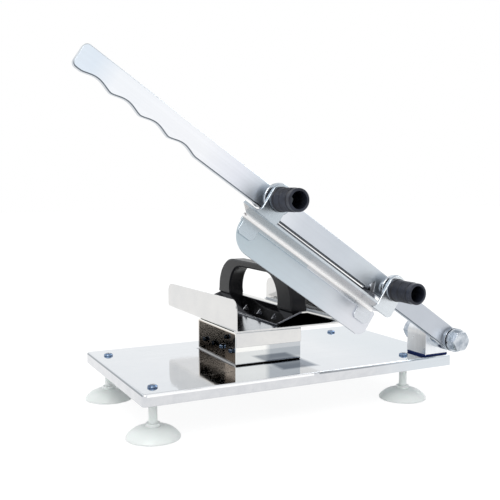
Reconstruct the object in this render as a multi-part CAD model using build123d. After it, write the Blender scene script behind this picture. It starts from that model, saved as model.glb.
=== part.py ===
from build123d import *
import math
import os

os.makedirs("parts", exist_ok=True)

# Lengths are in millimetres. They are first laid out with X from the base's left edge, Y from its
# near edge and Z from its top face, and at the end everything moves so that the origin is at the
# middle of the whole object's box, on the floor.

# Base: a folded sheet pan, open underneath
base_length = 340.0
base_width = 190.0
base_depth = 11.0
base_sheet = 1.5
base_corner = 4.0
base_bend = 2.0

# Suction feet and the screws that hold them
floor_level = -45.4
foot_left = 16.0
foot_right = 292.5
foot_near = 21.0
foot_far = 161.0
cup_radius = 24.5
cup_height = 10.4
cup_lip = 1.3
cup_rim = 1.8
cup_bulge_radius = 17.0
cup_bulge_height = 8.1
cup_hollow = 6.4
cup_hollow_mid_radius = 12.5
cup_hollow_mid_height = 4.9
cup_collar_radius = 6.5
cup_collar = 3.0
cup_stem_radius = 4.0
foot_screw_radius = 2.0
foot_screw_length = 22.0
foot_head_radius = 4.6
foot_head_height = 2.6

# Pivot bracket on the base, with its gasket and screws
bracket_left = 308.0
bracket_width = 29.0
bracket_near = 4.0
bracket_length = 30.0
gasket_thickness = 1.0
bracket_screw_radius = 3.0
bracket_screw_length = 14.5
bracket_screw_inset = 7.5
bracket_head_radius = 5.4
bracket_head_height = 3.4

# Pivot bolt through washers, arm, spacer and bracket, along Y
pivot_height = 21.5
bolt_radius = 6.0
bolt_head_flats = 18.0
bolt_head_height = 8.0
bolt_end_chamfer = 1.0
head_chamfer = 1.4
washer_radius = 12.0
washer_thickness = 2.0
lock_washer_radius = 10.3
lock_washer_gap = 1.2
nut_height = 10.0
bolt_tail = 3.0

# Cutting arm: a flat bar hung on the bolt, measured along its length from the pivot
arm_angle = 34.6
arm_width = 20.0
arm_thickness = 6.0
arm_far = -14.0
arm_reach = 461.0
arm_corner = 4.5
arm_edge = 0.5
grip_first_tip = 330.0
grip_pitch = 29.0
grip_end_lobe = 452.0
grip_depth = 3.3
grip_tip_round = 2.6
grip_scallops = 3
notch_deep_end = 116.5
notch_upper_end = 123.8
notch_lower_end = 112.5
notch_depth = 9.0

# Studs that carry the blade and the thickness plate on the arm
stud_upper = 252.8
stud_lower = 101.5
stud_radius = 4.0
stud_head_radius = 7.5
stud_head_height = 2.0
stud_near_end = -50.0
thread_pitch = 1.25

# Blade behind the thickness plate
blade_near = 3.0
blade_thickness = 2.5
blade_upper_end = 256.0
blade_lower_end = 92.0
blade_top = 12.0
blade_edge = 50.0
blade_bevel = 7.0
blade_land = 0.3
blade_ear_radius = 9.5
blade_corner = 12.0
sleeve_radius = 7.0

# Plate carrier: sheet folded to a Z, with two ears on the studs and two tabs on the plate
carrier_sheet = 2.0
ear_near = -33.0
ear_width = 19.5
ear_top = 17.5
web_near_drop = 19.0
web_far_drop = 21.3
web_near_end = 280.6
web_far_end = 260.0
web_lower_end = 89.0
flange_far = -2.0
flange_drop = 27.5
flange_upper_end = 258.0
tab_width = 17.5
tab_upper = 249.5
tab_lower = 98.5
tab_drop = 38.0
tab_corner = 4.0
carrier_bend = 3.0
ear_strip = 5.0

# Thickness plate
plate_thickness = 2.0
plate_upper_end = 260.0
plate_lower_end = 87.0
plate_top = 22.5
plate_bottom = 50.5
plate_nose = 21.0
plate_tail = 10.0
plate_shoulder = 2.0

# Springs and washers on the studs
spring_wire = 0.7
spring_radius = 6.6
spring_quarters = 11
small_washer_radius = 9.0
small_washer_thickness = 1.2
knob_washer_radius = 10.0
knob_washer_thickness = 1.5

# Hollow knobs, measured along their length from the collar
knob_length = 31.0
knob_collar_radius = 11.8
knob_barrel_radius = 11.2
knob_end_radius = 10.7
knob_bore_radius = 7.7
knob_bore_depth = 23.0
knob_round = 1.0
knob_groove = 0.9
knob_ring = 0.35
knob_waist_shares = (0.115, 0.44, 0.80)
knob_ring_shares = (0.18, 0.235, 0.29, 0.345, 0.52, 0.575, 0.63, 0.685)

# Stand: a sleeve of folded sheet, open at its left and right ends
stand_left = 115.0
stand_width = 73.0
stand_near = 57.0
stand_far = 153.0
stand_height = 33.0
stand_sheet = 2.0
stand_bend = 1.4
stand_screw_left = 138.0
stand_screw_right = 165.0
stand_screw_near = 116.0
stand_screw_far = 141.0
stand_screw_radius = 2.0
stand_head_radius = 4.0
stand_head_height = 2.8
stand_nut_flats = 7.0
stand_nut_height = 3.2
stand_screw_tail = 0.6

# Tray: a U of sheet on the stand, with a lip over the stand's near wall
tray_left = 115.0
tray_width = 135.0
tray_near = 57.0
tray_far = 247.0
tray_sheet = 1.5
tray_wall_near = 65.7
tray_wall_far = 61.3
tray_bend = 2.0
tray_round = 11.0
lip_level = 18.5

# Press plate: a ridged sheet with teeth, lying in the tray
press_left = 165.4
press_right = 238.0
press_near = 68.0
press_far = 260.0
press_sheet = 1.5
press_side_level = 35.5
ridge_left = 194.0
ridge_right = 203.0
ridge_level = 45.75
press_bend = 2.0
tooth_places = (89.0, 122.8, 156.6)
tooth_middle = 173.5
tooth_length = 6.5
tooth_height = 3.2
tooth_thickness = 1.2
tooth_sink = 0.4

# Pusher handle: a D-shaped grip on the press plate
handle_left = 189.0
handle_width = 19.0
handle_near = 78.0
handle_length = 185.0
handle_top = 93.0
handle_leg = 34.0
handle_bar = 11.0
handle_round = 13.0
handle_inner_round = 8.0
handle_edge = 2.0
handle_screw_radius = 2.0
handle_screw_length = 20.0
handle_head_radius = 3.7
handle_head_height = 2.4

# Clearances and cutting allowances
screw_clearance = 0.1
running_clearance = 0.05
sliding_clearance = 0.35
seat_gap = 0.05
overrun = 5.0
cross_width = 1.1
cross_reach = 2.6
cross_depth = 1.3
quarter_turn = 90.0

# Places worked out from the sizes above
pivot_x = bracket_left + bracket_width / 2
arm_near = arm_far - arm_thickness
blade_far = blade_near + blade_thickness
carrier_mid = carrier_sheet / 2
ear_far = ear_near + carrier_sheet
flange_mid = flange_far - carrier_mid
plate_near = flange_far
plate_far = plate_near + plate_thickness
knob_start = ear_near - knob_washer_thickness
bracket_far = bracket_near + bracket_length
bolt_head_face = arm_near - washer_thickness * 3
far_washer = bracket_far + washer_thickness
far_lock_washer = far_washer + washer_thickness
nut_end = far_lock_washer + nut_height
bolt_end = nut_end + bolt_tail
tray_floor = stand_height + tray_sheet
tray_right = tray_left + tray_width
handle_right = handle_left + handle_width
handle_far = handle_near + handle_length
upward = (Align.CENTER, Align.CENTER, Align.MIN)
stud_places = (stud_upper, stud_lower)


# Helpers for solids between two places
def slab(outline, y_start, y_end):
    """An outline of (x, z) points, run from one Y place to another."""
    return Pos(0, y_start, 0) * extrude(Plane.XZ * outline, y_end - y_start, dir=(0, 1, 0))


def band(section, x_start, x_end):
    """A section of (y, z) points, run from one X place to another."""
    return Pos(x_start, 0, 0) * extrude(Plane.YZ * section, x_end - x_start)


def column(plan, z_start, z_end):
    """A plan of (x, y) points, run from one level to another."""
    return Pos(0, 0, z_start) * extrude(plan, z_end - z_start)


def patch(*points):
    """A flat shape with straight sides."""
    return make_face(Polyline(*points, close=True))


def sheet(*points, thickness, bend):
    """The section of a sheet folded along points, which lie on its middle line."""
    return trace(FilletPolyline(*points, radius=bend), line_width=thickness)


def turned(profile):
    """A profile of (radius, height) points, turned about Z."""
    return revolve(Plane.XZ * profile, Axis.Z)


def disc(radius, height):
    return Cylinder(radius, height, align=upward)


def ring(outer, inner, height):
    return disc(outer, height) - disc(inner, height)


def facing(shape, x, y, z):
    """A shape made upwards along Z, laid down so that its top faces the near side."""
    return Pos(x, y, z) * Rot(quarter_turn, 0, 0) * shape


def on_arm(shape):
    """A shape made with the arm level and the pivot at zero, moved to the arm's rest pose."""
    return Pos(pivot_x, 0, pivot_height) * Rot(0, arm_angle, 0) * shape


def hexagon(flats):
    return RegularPolygon(flats / 2, 6, major_radius=False)


# Fasteners, made upwards with the underside of the head at zero
def cross_recess(top):
    arms = Box(cross_width, cross_reach * 2, cross_depth) + Box(cross_reach * 2, cross_width, cross_depth)
    return Pos(0, 0, top - cross_depth / 2) * arms


def pan_screw(radius, length, head_radius, head_height):
    """A cross-head screw with its shank below and its domed head above."""
    flat = head_radius / 2
    side = head_height / 2
    dome = [
        Line((0, 0), (head_radius, 0)),
        Line((head_radius, 0), (head_radius, side)),
        RadiusArc((head_radius, side), (flat, head_height), -head_radius),
        Line((flat, head_height), (0, head_height)),
        Line((0, head_height), (0, 0)),
    ]
    head = turned(make_face(dome)) - cross_recess(head_height)
    return head + Pos(0, 0, -length) * disc(radius, length)


def hex_block(flats, height, chamfer_size):
    """A hexagon whose top corners are turned down to a cone."""
    corner = flats / math.sqrt(3)
    cone = patch(
        (0, 0),
        (corner, 0),
        (corner, height - chamfer_size),
        (corner - chamfer_size * math.sqrt(3), height),
        (0, height),
    )
    return extrude(hexagon(flats), height) & turned(cone)


# Base, feet and bracket
def foot_places():
    return [(x, y) for x in (foot_left, foot_right) for y in (foot_near, foot_far)]


def bracket_screw_places():
    return [(pivot_x, y) for y in (bracket_near + bracket_screw_inset, bracket_far - bracket_screw_inset)]


def stand_screw_places():
    return [(x, y) for x in (stand_screw_left, stand_screw_right) for y in (stand_screw_near, stand_screw_far)]


def drill(shape, places, radius, z_start, z_end):
    for x, y in places:
        shape = shape - Pos(x, y, z_start) * disc(radius, z_end - z_start)
    return shape


def make_base():
    middle = Pos(base_length / 2, base_width / 2)
    pan = column(middle * RectangleRounded(base_length, base_width, base_corner), -base_depth, 0)
    pan = fillet(pan.faces().sort_by(Axis.Z)[-1].edges(), base_bend)
    inner_corner = base_corner - base_sheet
    inner_plan = RectangleRounded(base_length - base_sheet * 2, base_width - base_sheet * 2, inner_corner)
    hollow = column(middle * inner_plan, -base_depth - overrun, -base_sheet)
    pan = pan - hollow
    pan = drill(pan, foot_places(), foot_screw_radius + screw_clearance, -base_depth, overrun)
    pan = drill(pan, stand_screw_places(), stand_screw_radius + screw_clearance, -base_depth, overrun)
    return drill(pan, bracket_screw_places(), bracket_screw_radius + screw_clearance, -base_depth, overrun)


def make_foot(x, y):
    stem_top = -base_sheet - floor_level
    bore = foot_screw_radius + screw_clearance
    bore_bottom = stem_top - foot_screw_length
    collar_top = cup_height + cup_collar
    inner_edge = cup_radius - cup_rim
    lines = [
        Line((bore, bore_bottom), (bore, stem_top)),
        Line((bore, stem_top), (cup_stem_radius, stem_top)),
        Line((cup_stem_radius, stem_top), (cup_stem_radius, collar_top)),
        Line((cup_stem_radius, collar_top), (cup_collar_radius, collar_top)),
        Line((cup_collar_radius, collar_top), (cup_collar_radius, cup_height)),
        ThreePointArc((cup_collar_radius, cup_height), (cup_bulge_radius, cup_bulge_height), (cup_radius, cup_lip)),
        Line((cup_radius, cup_lip), (cup_radius, 0)),
        Line((cup_radius, 0), (inner_edge, 0)),
        ThreePointArc((inner_edge, 0), (cup_hollow_mid_radius, cup_hollow_mid_height), (bore, cup_hollow)),
        Line((bore, cup_hollow), (0, cup_hollow)),
        Line((0, cup_hollow), (0, bore_bottom)),
        Line((0, bore_bottom), (bore, bore_bottom)),
    ]
    return Pos(x, y, floor_level) * turned(make_face(lines))


def make_foot_screws():
    length = foot_screw_length
    screw = pan_screw(foot_screw_radius, length, foot_head_radius, foot_head_height)
    return [Pos(x, y, 0) * screw for x, y in foot_places()]


def make_gasket():
    plan = Pos(pivot_x, bracket_near + bracket_length / 2) * Rectangle(bracket_width, bracket_length)
    pad = column(plan, 0, gasket_thickness)
    return drill(pad, bracket_screw_places(), bracket_screw_radius + screw_clearance, 0, gasket_thickness)


def make_bracket():
    below = pivot_height - gasket_thickness
    block = Pos(0, -below / 2) * Rectangle(bracket_width, below) + Circle(bracket_width / 2)
    block = Pos(pivot_x, pivot_height) * block
    body = slab(block, bracket_near, bracket_far)
    body = body - facing(disc(bolt_radius + screw_clearance, bracket_length), pivot_x, bracket_far, pivot_height)
    top = bracket_screw_length - base_sheet
    return drill(body, bracket_screw_places(), bracket_screw_radius + screw_clearance, gasket_thickness, top)


def make_bracket_screws():
    screw = pan_screw(bracket_screw_radius, bracket_screw_length, bracket_head_radius, bracket_head_height)
    return [Pos(x, y, -base_sheet) * Rot(quarter_turn * 2, 0, 0) * screw for x, y in bracket_screw_places()]


# Pivot bolt and what it clamps
def at_pivot(shape, y):
    return facing(shape, pivot_x, y, pivot_height)


def make_pivot_bolt():
    head = hex_block(bolt_head_flats, bolt_head_height, head_chamfer)
    length = bolt_end - bolt_head_face
    shank = chamfer(disc(bolt_radius, length).edges().sort_by(Axis.Z)[0], bolt_end_chamfer)
    return at_pivot(head + Pos(0, 0, -length) * shank, bolt_head_face)


def make_pivot_washers():
    washer = ring(washer_radius, bolt_radius + screw_clearance, washer_thickness)
    backs = (arm_near, arm_near - washer_thickness * 2, far_washer)
    return [at_pivot(washer, back) for back in backs]


def make_lock_washers():
    washer = ring(lock_washer_radius, bolt_radius + screw_clearance, washer_thickness)
    slit = Pos(lock_washer_radius - overrun / 2, 0, washer_thickness / 2)
    washer = washer - slit * Box(overrun * 2, lock_washer_gap, washer_thickness)
    backs = (arm_near - washer_thickness, far_lock_washer)
    return [at_pivot(washer, back) for back in backs]


def make_pivot_spacer():
    return at_pivot(ring(washer_radius, bolt_radius + screw_clearance, bracket_near - arm_far), bracket_near)


def make_pivot_nut():
    nut = hex_block(bolt_head_flats, nut_height, head_chamfer) - disc(bolt_radius, nut_height)
    return Pos(pivot_x, far_lock_washer, pivot_height) * Rot(-quarter_turn, 0, 0) * nut


# Cutting arm, drawn level: x runs from the handle end, at minus the reach, to the pivot at zero
def scallop(start, end):
    """The circle that cuts a hollow of the grip's depth between two places on the lower edge."""
    half_chord = (end - start) / 2
    radius = (half_chord**2 + grip_depth**2) / (grip_depth * 2)
    return Pos(-(start + end) / 2, -arm_width / 2 - radius + grip_depth) * Circle(radius)


def make_arm():
    bar = Pos(-arm_reach / 2, 0) * Rectangle(arm_reach, arm_width)
    bar = fillet(bar.vertices().sort_by(Axis.X)[:2], arm_corner)
    outline = bar + Circle(arm_width / 2)
    tips = [grip_first_tip + grip_pitch * i for i in range(grip_scallops + 1)]
    for start, end in zip(tips, tips[1:] + [grip_end_lobe]):
        outline = outline - scallop(start, end)
    lower = -arm_width / 2
    tip_points = [v for v in outline.vertices() if abs(v.Y - lower) < seat_gap and -v.X > grip_first_tip - seat_gap]
    tip_points = [v for v in tip_points if -v.X < grip_end_lobe + seat_gap]
    outline = fillet(tip_points, grip_tip_round)
    outline = outline - patch(
        (-notch_upper_end, lower),
        (-notch_deep_end, lower + notch_depth),
        (-notch_lower_end, lower),
    )
    arm = slab(outline, arm_near, arm_far)
    arm = chamfer(arm.faces().sort_by(Axis.Y)[0].edges() + arm.faces().sort_by(Axis.Y)[-1].edges(), arm_edge)
    arm = arm - facing(disc(bolt_radius + running_clearance, arm_thickness), 0, arm_far, 0)
    for place in stud_places:
        arm = arm - facing(disc(stud_radius + screw_clearance, arm_thickness), -place, arm_far, 0)
    return on_arm(arm)


def make_studs():
    length = blade_far - stud_near_end
    shank = chamfer(disc(stud_radius, length).edges().sort_by(Axis.Z)[-1], bolt_end_chamfer)
    stud = shank + Pos(0, 0, -stud_head_height) * disc(stud_head_radius, stud_head_height)
    return [on_arm(facing(stud, -place, blade_far, 0)) for place in stud_places]


def make_blade_sleeves():
    sleeve = ring(sleeve_radius, stud_radius + screw_clearance, blade_near - arm_far)
    return [on_arm(facing(sleeve, -place, blade_near, 0)) for place in stud_places]


def make_blade():
    length = blade_upper_end - blade_lower_end
    depth = blade_edge - blade_top
    middle = (blade_upper_end + blade_lower_end) / 2
    outline = Pos(-middle, -(blade_top + blade_edge) / 2) * Rectangle(length, depth)
    outline = fillet(outline.vertices().group_by(Axis.Y)[0].sort_by(Axis.X)[0], blade_corner)
    for place in stud_places:
        ear = Circle(blade_ear_radius) + Pos(0, -blade_top / 2) * Rectangle(blade_ear_radius * 2, blade_top)
        outline = outline + Pos(-place, 0) * ear
    for place in stud_places:
        outline = outline - Pos(-place, 0) * Circle(stud_radius + screw_clearance)
    blade = slab(outline, blade_near, blade_far)
    bevel = patch(
        (blade_far, blade_bevel - blade_edge),
        (blade_near + blade_land, -blade_edge),
        (blade_near + blade_land, -blade_edge - overrun),
        (blade_far + overrun, -blade_edge - overrun),
        (blade_far + overrun, blade_bevel - blade_edge),
    )
    return on_arm(blade - band(bevel, -blade_upper_end - overrun, -blade_lower_end + overrun))


# Plate carrier and thickness plate
def web_level(y):
    """How far below the arm's middle line the web's middle lies at a place along Y."""
    share = (y - ear_near) / (flange_mid - ear_near)
    return web_near_drop + (web_far_drop - web_near_drop) * share


def ear_outline(place):
    """An ear's outline, round at the top, running down past the web."""
    drop = web_near_drop + overrun
    centre = ear_top - ear_width / 2
    stem = Pos(0, (centre - drop) / 2) * Rectangle(ear_width, centre + drop)
    return Pos(-place, 0) * (stem + Pos(0, centre) * Circle(ear_width / 2))


def tab_outline(place):
    height = tab_drop - web_far_drop
    tab = Pos(-place, -web_far_drop - height / 2) * Rectangle(tab_width, height)
    return fillet(tab.vertices().group_by(Axis.Y)[0], tab_corner)


def make_carrier():
    ear_mid = ear_near + carrier_mid
    strip_end = ear_near + ear_strip
    inner = strip_end + carrier_bend
    web_section = sheet(
        (ear_near, -web_level(ear_near)),
        (flange_mid, -web_level(flange_mid)),
        (flange_mid, -flange_drop),
        thickness=carrier_sheet,
        bend=carrier_bend,
    )
    plan = patch(
        (-web_near_end, ear_near - overrun),
        (-web_near_end, ear_near),
        (-web_far_end, flange_far),
        (-web_lower_end, flange_far),
        (-web_lower_end, ear_near - overrun),
    )
    for place in stud_places:
        width = ear_width + seat_gap
        cut = Rectangle(width, ear_strip + overrun)
        plan = plan - Pos(-place, (ear_near - overrun + strip_end) / 2) * cut
    carrier = band(web_section, -web_near_end, -web_lower_end)
    carrier = carrier & column(plan, -plate_bottom, plate_bottom)
    ear_section = sheet(
        (ear_mid, ear_top),
        (ear_mid, -web_level(ear_mid)),
        (inner, -web_level(inner)),
        thickness=carrier_sheet,
        bend=carrier_bend,
    )
    hole = stud_radius + sliding_clearance
    for place in stud_places:
        half = ear_width / 2
        ear = band(ear_section, -place - half, -place + half)
        keep = slab(ear_outline(place), ear_near - overrun, inner)
        ear = (ear & keep) - facing(disc(hole, carrier_sheet + overrun), -place, ear_far + overrun / 2, 0)
        carrier = carrier + ear
    for place in (tab_upper, tab_lower):
        carrier = carrier + slab(tab_outline(place), flange_far - carrier_sheet, flange_far)
    return on_arm(carrier)


def make_thickness_plate():
    length = plate_upper_end - plate_lower_end
    depth = plate_bottom - plate_top
    middle = (plate_upper_end + plate_lower_end) / 2
    outline = Pos(-middle, -(plate_top + plate_bottom) / 2) * Rectangle(length, depth)
    outline = fillet(outline.vertices().group_by(Axis.Y)[-1], plate_shoulder)
    outline = fillet(outline.vertices().group_by(Axis.Y)[0].sort_by(Axis.X)[0], plate_nose)
    outline = fillet(outline.vertices().group_by(Axis.Y)[0].sort_by(Axis.X)[-1], plate_tail)
    return on_arm(slab(outline, plate_near, plate_far))


# Springs, washers and knobs on the studs
def helix(step, height):
    """Place and direction on the spring's line after a number of quarter turns."""
    angle = step * math.pi / 2
    rise = height / spring_quarters
    place = Vector(spring_radius * math.cos(angle), spring_radius * math.sin(angle), rise * step)
    speed = spring_radius * math.pi / 2
    return place, Vector(-speed * math.sin(angle), speed * math.cos(angle), rise).normalized()


def biarc(start, leaving, end, arriving):
    """Two arcs that meet smoothly, with given directions at both ends."""
    chord = end - start
    along = chord.dot(leaving + arriving)
    spread = 2 * (1 - leaving.dot(arriving))
    reach = (-along + math.sqrt(along**2 + spread * chord.dot(chord))) / spread
    first = start + leaving * reach
    second = end - arriving * reach
    middle = (first + second) / 2
    turn = (second - first).normalized()
    return [TangentArc(start, middle, tangent=leaving), TangentArc(middle, end, tangent=turn)]


def make_spring(place):
    """A compression spring between the arm's washer and the ear's washer."""
    near = ear_far + small_washer_thickness
    far = arm_near - small_washer_thickness
    height = far - near - (spring_wire + seat_gap) * 2
    arcs = []
    for step in range(spring_quarters):
        arcs = arcs + biarc(*helix(step, height), *helix(step + 1, height))
    line = Wire([arc.edge() for arc in arcs])
    start, leaving = helix(0, height)
    tube = sweep(Plane(origin=start, z_dir=leaving) * Circle(spring_wire), path=line)
    samples = [line.position_at(i / (spring_quarters * 12)) for i in range(spring_quarters * 12 + 1)]
    pairs = [(a, b) for i, a in enumerate(samples) for b in samples[i + 24:]]
    gap = min((a - b).length for a, b in pairs) - spring_wire * 2
    print("spring gap to itself", round(gap, 2), "turns", spring_quarters / 4)
    return on_arm(facing(tube, -place, far - spring_wire - seat_gap, 0))


def washers_on_studs(radius, thickness, back, bore):
    washer = ring(radius, bore, thickness)
    return [on_arm(facing(washer, -place, back, 0)) for place in stud_places]


def make_knob(place):
    """A hollow turned knob with a rounded collar, ringed grip and open end."""
    profile = patch(
        (stud_radius + running_clearance, 0),
        (knob_collar_radius, 0),
        (knob_barrel_radius, knob_length * knob_ring_shares[0]),
        (knob_end_radius, knob_length),
        (knob_bore_radius, knob_length),
        (knob_bore_radius, knob_length - knob_bore_depth),
        (stud_radius + running_clearance, knob_length - knob_bore_depth),
    )
    outer = [v for v in profile.vertices() if v.X > knob_end_radius - seat_gap]
    ends = [v for v in outer if v.Y < seat_gap or v.Y > knob_length - seat_gap]
    profile = fillet(ends, knob_round)
    for shares, depth in ((knob_waist_shares, knob_groove), (knob_ring_shares, knob_ring)):
        for share in shares:
            level = knob_length * share
            slope = (level / knob_length) * (knob_barrel_radius - knob_end_radius)
            profile = profile - Pos(knob_barrel_radius - slope, level) * Circle(depth)
    return on_arm(facing(turned(profile), -place, knob_start, 0))


# Stand and tray
def make_stand():
    width = stand_far - stand_near
    outline = RectangleRounded(width, stand_height, stand_bend + stand_sheet / 2)
    inner = RectangleRounded(width - stand_sheet * 2, stand_height - stand_sheet * 2, stand_bend - stand_sheet / 2)
    section = Pos((stand_near + stand_far) / 2, stand_height / 2) * (outline - inner)
    stand = band(section, stand_left, stand_left + stand_width)
    return drill(stand, stand_screw_places(), stand_screw_radius + screw_clearance, -overrun, overrun)


def make_stand_screws():
    length = stand_sheet + base_sheet + stand_nut_height + stand_screw_tail
    screw = pan_screw(stand_screw_radius, length, stand_head_radius, stand_head_height)
    return [Pos(x, y, stand_sheet) * screw for x, y in stand_screw_places()]


def make_stand_nuts():
    nut = extrude(hexagon(stand_nut_flats), stand_nut_height) - disc(stand_screw_radius, stand_nut_height)
    return [Pos(x, y, -base_sheet - stand_nut_height) * nut for x, y in stand_screw_places()]


def make_tray():
    half = tray_sheet / 2
    floor_mid = stand_height + half
    section = sheet(
        (tray_left + half, tray_wall_near),
        (tray_left + half, floor_mid),
        (tray_right - half, floor_mid),
        (tray_right - half, tray_wall_near),
        thickness=tray_sheet,
        bend=tray_bend,
    )
    channel = slab(section, tray_near, tray_far)
    side = patch(
        (tray_near, stand_height),
        (tray_near, tray_wall_near),
        (tray_far, tray_wall_far),
        (tray_far, stand_height),
    )
    side = fillet([v for v in side.vertices() if v.Y > tray_floor], tray_round)
    tray = channel & band(side, tray_left, tray_right)
    lip = sheet(
        (tray_near + overrun, floor_mid),
        (tray_near - half, floor_mid),
        (tray_near - half, lip_level),
        thickness=tray_sheet,
        bend=tray_bend,
    )
    return tray + band(lip, stand_left, stand_left + stand_width)


# Pusher: press plate, handle and screws
def press_line():
    """The press plate's middle line, over its ridge from side to side."""
    ridge = ((ridge_left, ridge_level), (ridge_right, ridge_level))
    return ((press_left, press_side_level), *ridge, (press_right, press_side_level))


def press_section():
    return sheet(*press_line(), thickness=press_sheet, bend=press_bend)


def make_press_plate():
    plate = slab(press_section(), press_near, press_far)
    rise = math.atan2(ridge_level - press_side_level, ridge_left - press_left)
    top = press_side_level + press_sheet / 2 / math.cos(rise)
    level = top + (tooth_middle - press_left) * math.tan(rise)
    fin = patch((-tooth_length / 2, -tooth_sink), (tooth_length / 2, -tooth_sink), (tooth_length / 2, tooth_height))
    fin = Pos(tooth_middle, level) * Rot(0, 0, math.degrees(rise)) * fin
    for place in tooth_places:
        plate = plate + slab(fin, place - tooth_thickness / 2, place + tooth_thickness / 2)
    bore = handle_screw_radius + screw_clearance
    return drill(plate, handle_screw_places(), bore, tray_floor, ridge_level + press_sheet)


def make_handle():
    height = handle_top - tray_floor
    outer = Pos(handle_near + handle_length / 2, tray_floor + height / 2) * Rectangle(handle_length, height)
    outer = fillet(outer.vertices().group_by(Axis.Y)[-1], handle_round)
    gap_length = handle_length - handle_leg * 2
    gap_height = height - handle_bar
    gap = Pos(handle_near + handle_length / 2, tray_floor + gap_height / 2) * Rectangle(gap_length, gap_height)
    gap = fillet(gap.vertices().group_by(Axis.Y)[-1], handle_inner_round)
    body = band(outer - gap, handle_left, handle_right)
    sides = body.faces().sort_by(Axis.X)
    body = fillet(sides[0].edges() + sides[-1].edges(), handle_edge)
    below = patch(*press_line(), (press_right, stand_height), (press_left, stand_height))
    body = body - slab(press_section() + below, handle_near - overrun, handle_far + overrun)
    for x, y in handle_screw_places():
        body = body - Pos(x, y, ridge_level) * disc(handle_screw_radius + screw_clearance, handle_screw_length)
    return body


def handle_screw_places():
    middle = (ridge_left + ridge_right) / 2
    return [(middle, handle_near + handle_leg / 2), (middle, handle_far - handle_leg / 2)]


def make_handle_screws():
    screw = pan_screw(handle_screw_radius, handle_screw_length, handle_head_radius, handle_head_height)
    level = ridge_level - press_sheet / 2
    return [Pos(x, y, level) * Rot(quarter_turn * 2, 0, 0) * screw for x, y in handle_screw_places()]


# The object's nodes
def make_nodes():
    nodes = {
        "base_plate": make_base(),
        "foot_screws": make_foot_screws(),
        "bracket_gasket": make_gasket(),
        "pivot_bracket": make_bracket(),
        "bracket_screws": make_bracket_screws(),
        "pivot_bolt": make_pivot_bolt(),
        "pivot_washers": make_pivot_washers(),
        "pivot_lock_washers": make_lock_washers(),
        "pivot_spacer": make_pivot_spacer(),
        "pivot_nut": make_pivot_nut(),
        "tray_stand": make_stand(),
        "stand_screws": make_stand_screws(),
        "stand_nuts": make_stand_nuts(),
        "tray": make_tray(),
        "press_plate": make_press_plate(),
        "pusher_handle": make_handle(),
        "handle_screws": make_handle_screws(),
        "cutting_arm": make_arm(),
        "blade": make_blade(),
        "blade_sleeves": make_blade_sleeves(),
        "blade_studs": make_studs(),
        "plate_carrier": make_carrier(),
        "thickness_plate": make_thickness_plate(),
        "upper_spring": make_spring(stud_upper),
        "lower_spring": make_spring(stud_lower),
        "upper_knob": make_knob(stud_upper),
        "lower_knob": make_knob(stud_lower),
    }
    arm_bore = stud_radius + screw_clearance
    ear_bore = stud_radius + sliding_clearance
    ear_back = ear_far + small_washer_thickness
    nodes["arm_spring_washers"] = washers_on_studs(small_washer_radius, small_washer_thickness, arm_near, arm_bore)
    nodes["ear_spring_washers"] = washers_on_studs(small_washer_radius, small_washer_thickness, ear_back, ear_bore)
    nodes["knob_washers"] = washers_on_studs(knob_washer_radius, knob_washer_thickness, ear_near, ear_bore)
    names = ("foot_near_left", "foot_far_left", "foot_near_right", "foot_far_right")
    for name, (x, y) in zip(names, foot_places()):
        nodes[name] = make_foot(x, y)
    return nodes


def solids_of(shape):
    parts = shape if isinstance(shape, list) else [shape]
    return [solid for part in parts for solid in part.solids()]


def write_nodes(nodes):
    """Moves every node to the object's origin, writes it and prints what the record needs."""
    boxes = [solid.bounding_box() for shape in nodes.values() for solid in solids_of(shape)]
    x_middle = (min(b.min.X for b in boxes) + max(b.max.X for b in boxes)) / 2
    y_middle = (min(b.min.Y for b in boxes) + max(b.max.Y for b in boxes)) / 2
    shift = Vector(-x_middle, -y_middle, -min(b.min.Z for b in boxes))
    for name, shape in nodes.items():
        moved = [Pos(shift) * solid for solid in solids_of(shape)]
        result = moved[0] if len(moved) == 1 else Compound(children=moved)
        export_step(result, "parts/" + name + ".step")
        print(name, len(moved), "valid", all(s.is_valid for s in moved), round(sum(s.volume for s in moved), 1))
    print("shift", [round(v, 3) for v in shift])
    print("pivot", round(pivot_x + shift.X, 3), round(pivot_height + shift.Z, 3))
    angle = math.radians(arm_angle)
    for place in stud_places:
        x = pivot_x - place * math.cos(angle) + shift.X
        z = pivot_height + place * math.sin(angle) + shift.Z
        print("stud", place, round(x, 4), round(z, 4))


write_nodes(make_nodes())
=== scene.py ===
"""Looks of a bench slicer for frozen meat: steel base on cups, hinged lever blade, gauge plate and pusher."""

from __future__ import annotations

import functools
import logging
import math
from collections.abc import Sequence
from dataclasses import dataclass
from enum import Enum
from typing import ClassVar

import bmesh
import bpy
import numpy as np
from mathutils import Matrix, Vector


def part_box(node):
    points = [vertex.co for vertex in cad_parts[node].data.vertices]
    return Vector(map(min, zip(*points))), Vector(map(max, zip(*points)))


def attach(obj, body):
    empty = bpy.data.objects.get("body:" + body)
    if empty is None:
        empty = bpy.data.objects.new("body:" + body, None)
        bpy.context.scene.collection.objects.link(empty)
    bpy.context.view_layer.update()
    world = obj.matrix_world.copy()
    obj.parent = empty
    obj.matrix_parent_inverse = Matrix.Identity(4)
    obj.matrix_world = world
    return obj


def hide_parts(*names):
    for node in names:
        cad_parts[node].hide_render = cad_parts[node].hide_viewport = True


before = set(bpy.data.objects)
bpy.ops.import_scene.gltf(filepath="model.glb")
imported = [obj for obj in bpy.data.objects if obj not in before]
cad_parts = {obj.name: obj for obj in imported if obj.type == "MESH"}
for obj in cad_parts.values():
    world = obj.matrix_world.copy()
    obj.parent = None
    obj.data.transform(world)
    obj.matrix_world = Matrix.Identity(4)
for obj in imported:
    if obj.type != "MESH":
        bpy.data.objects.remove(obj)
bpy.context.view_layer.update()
LOG = logging.getLogger("slicer")
MM = 0.001
Triple = tuple[float, float, float]
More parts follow.
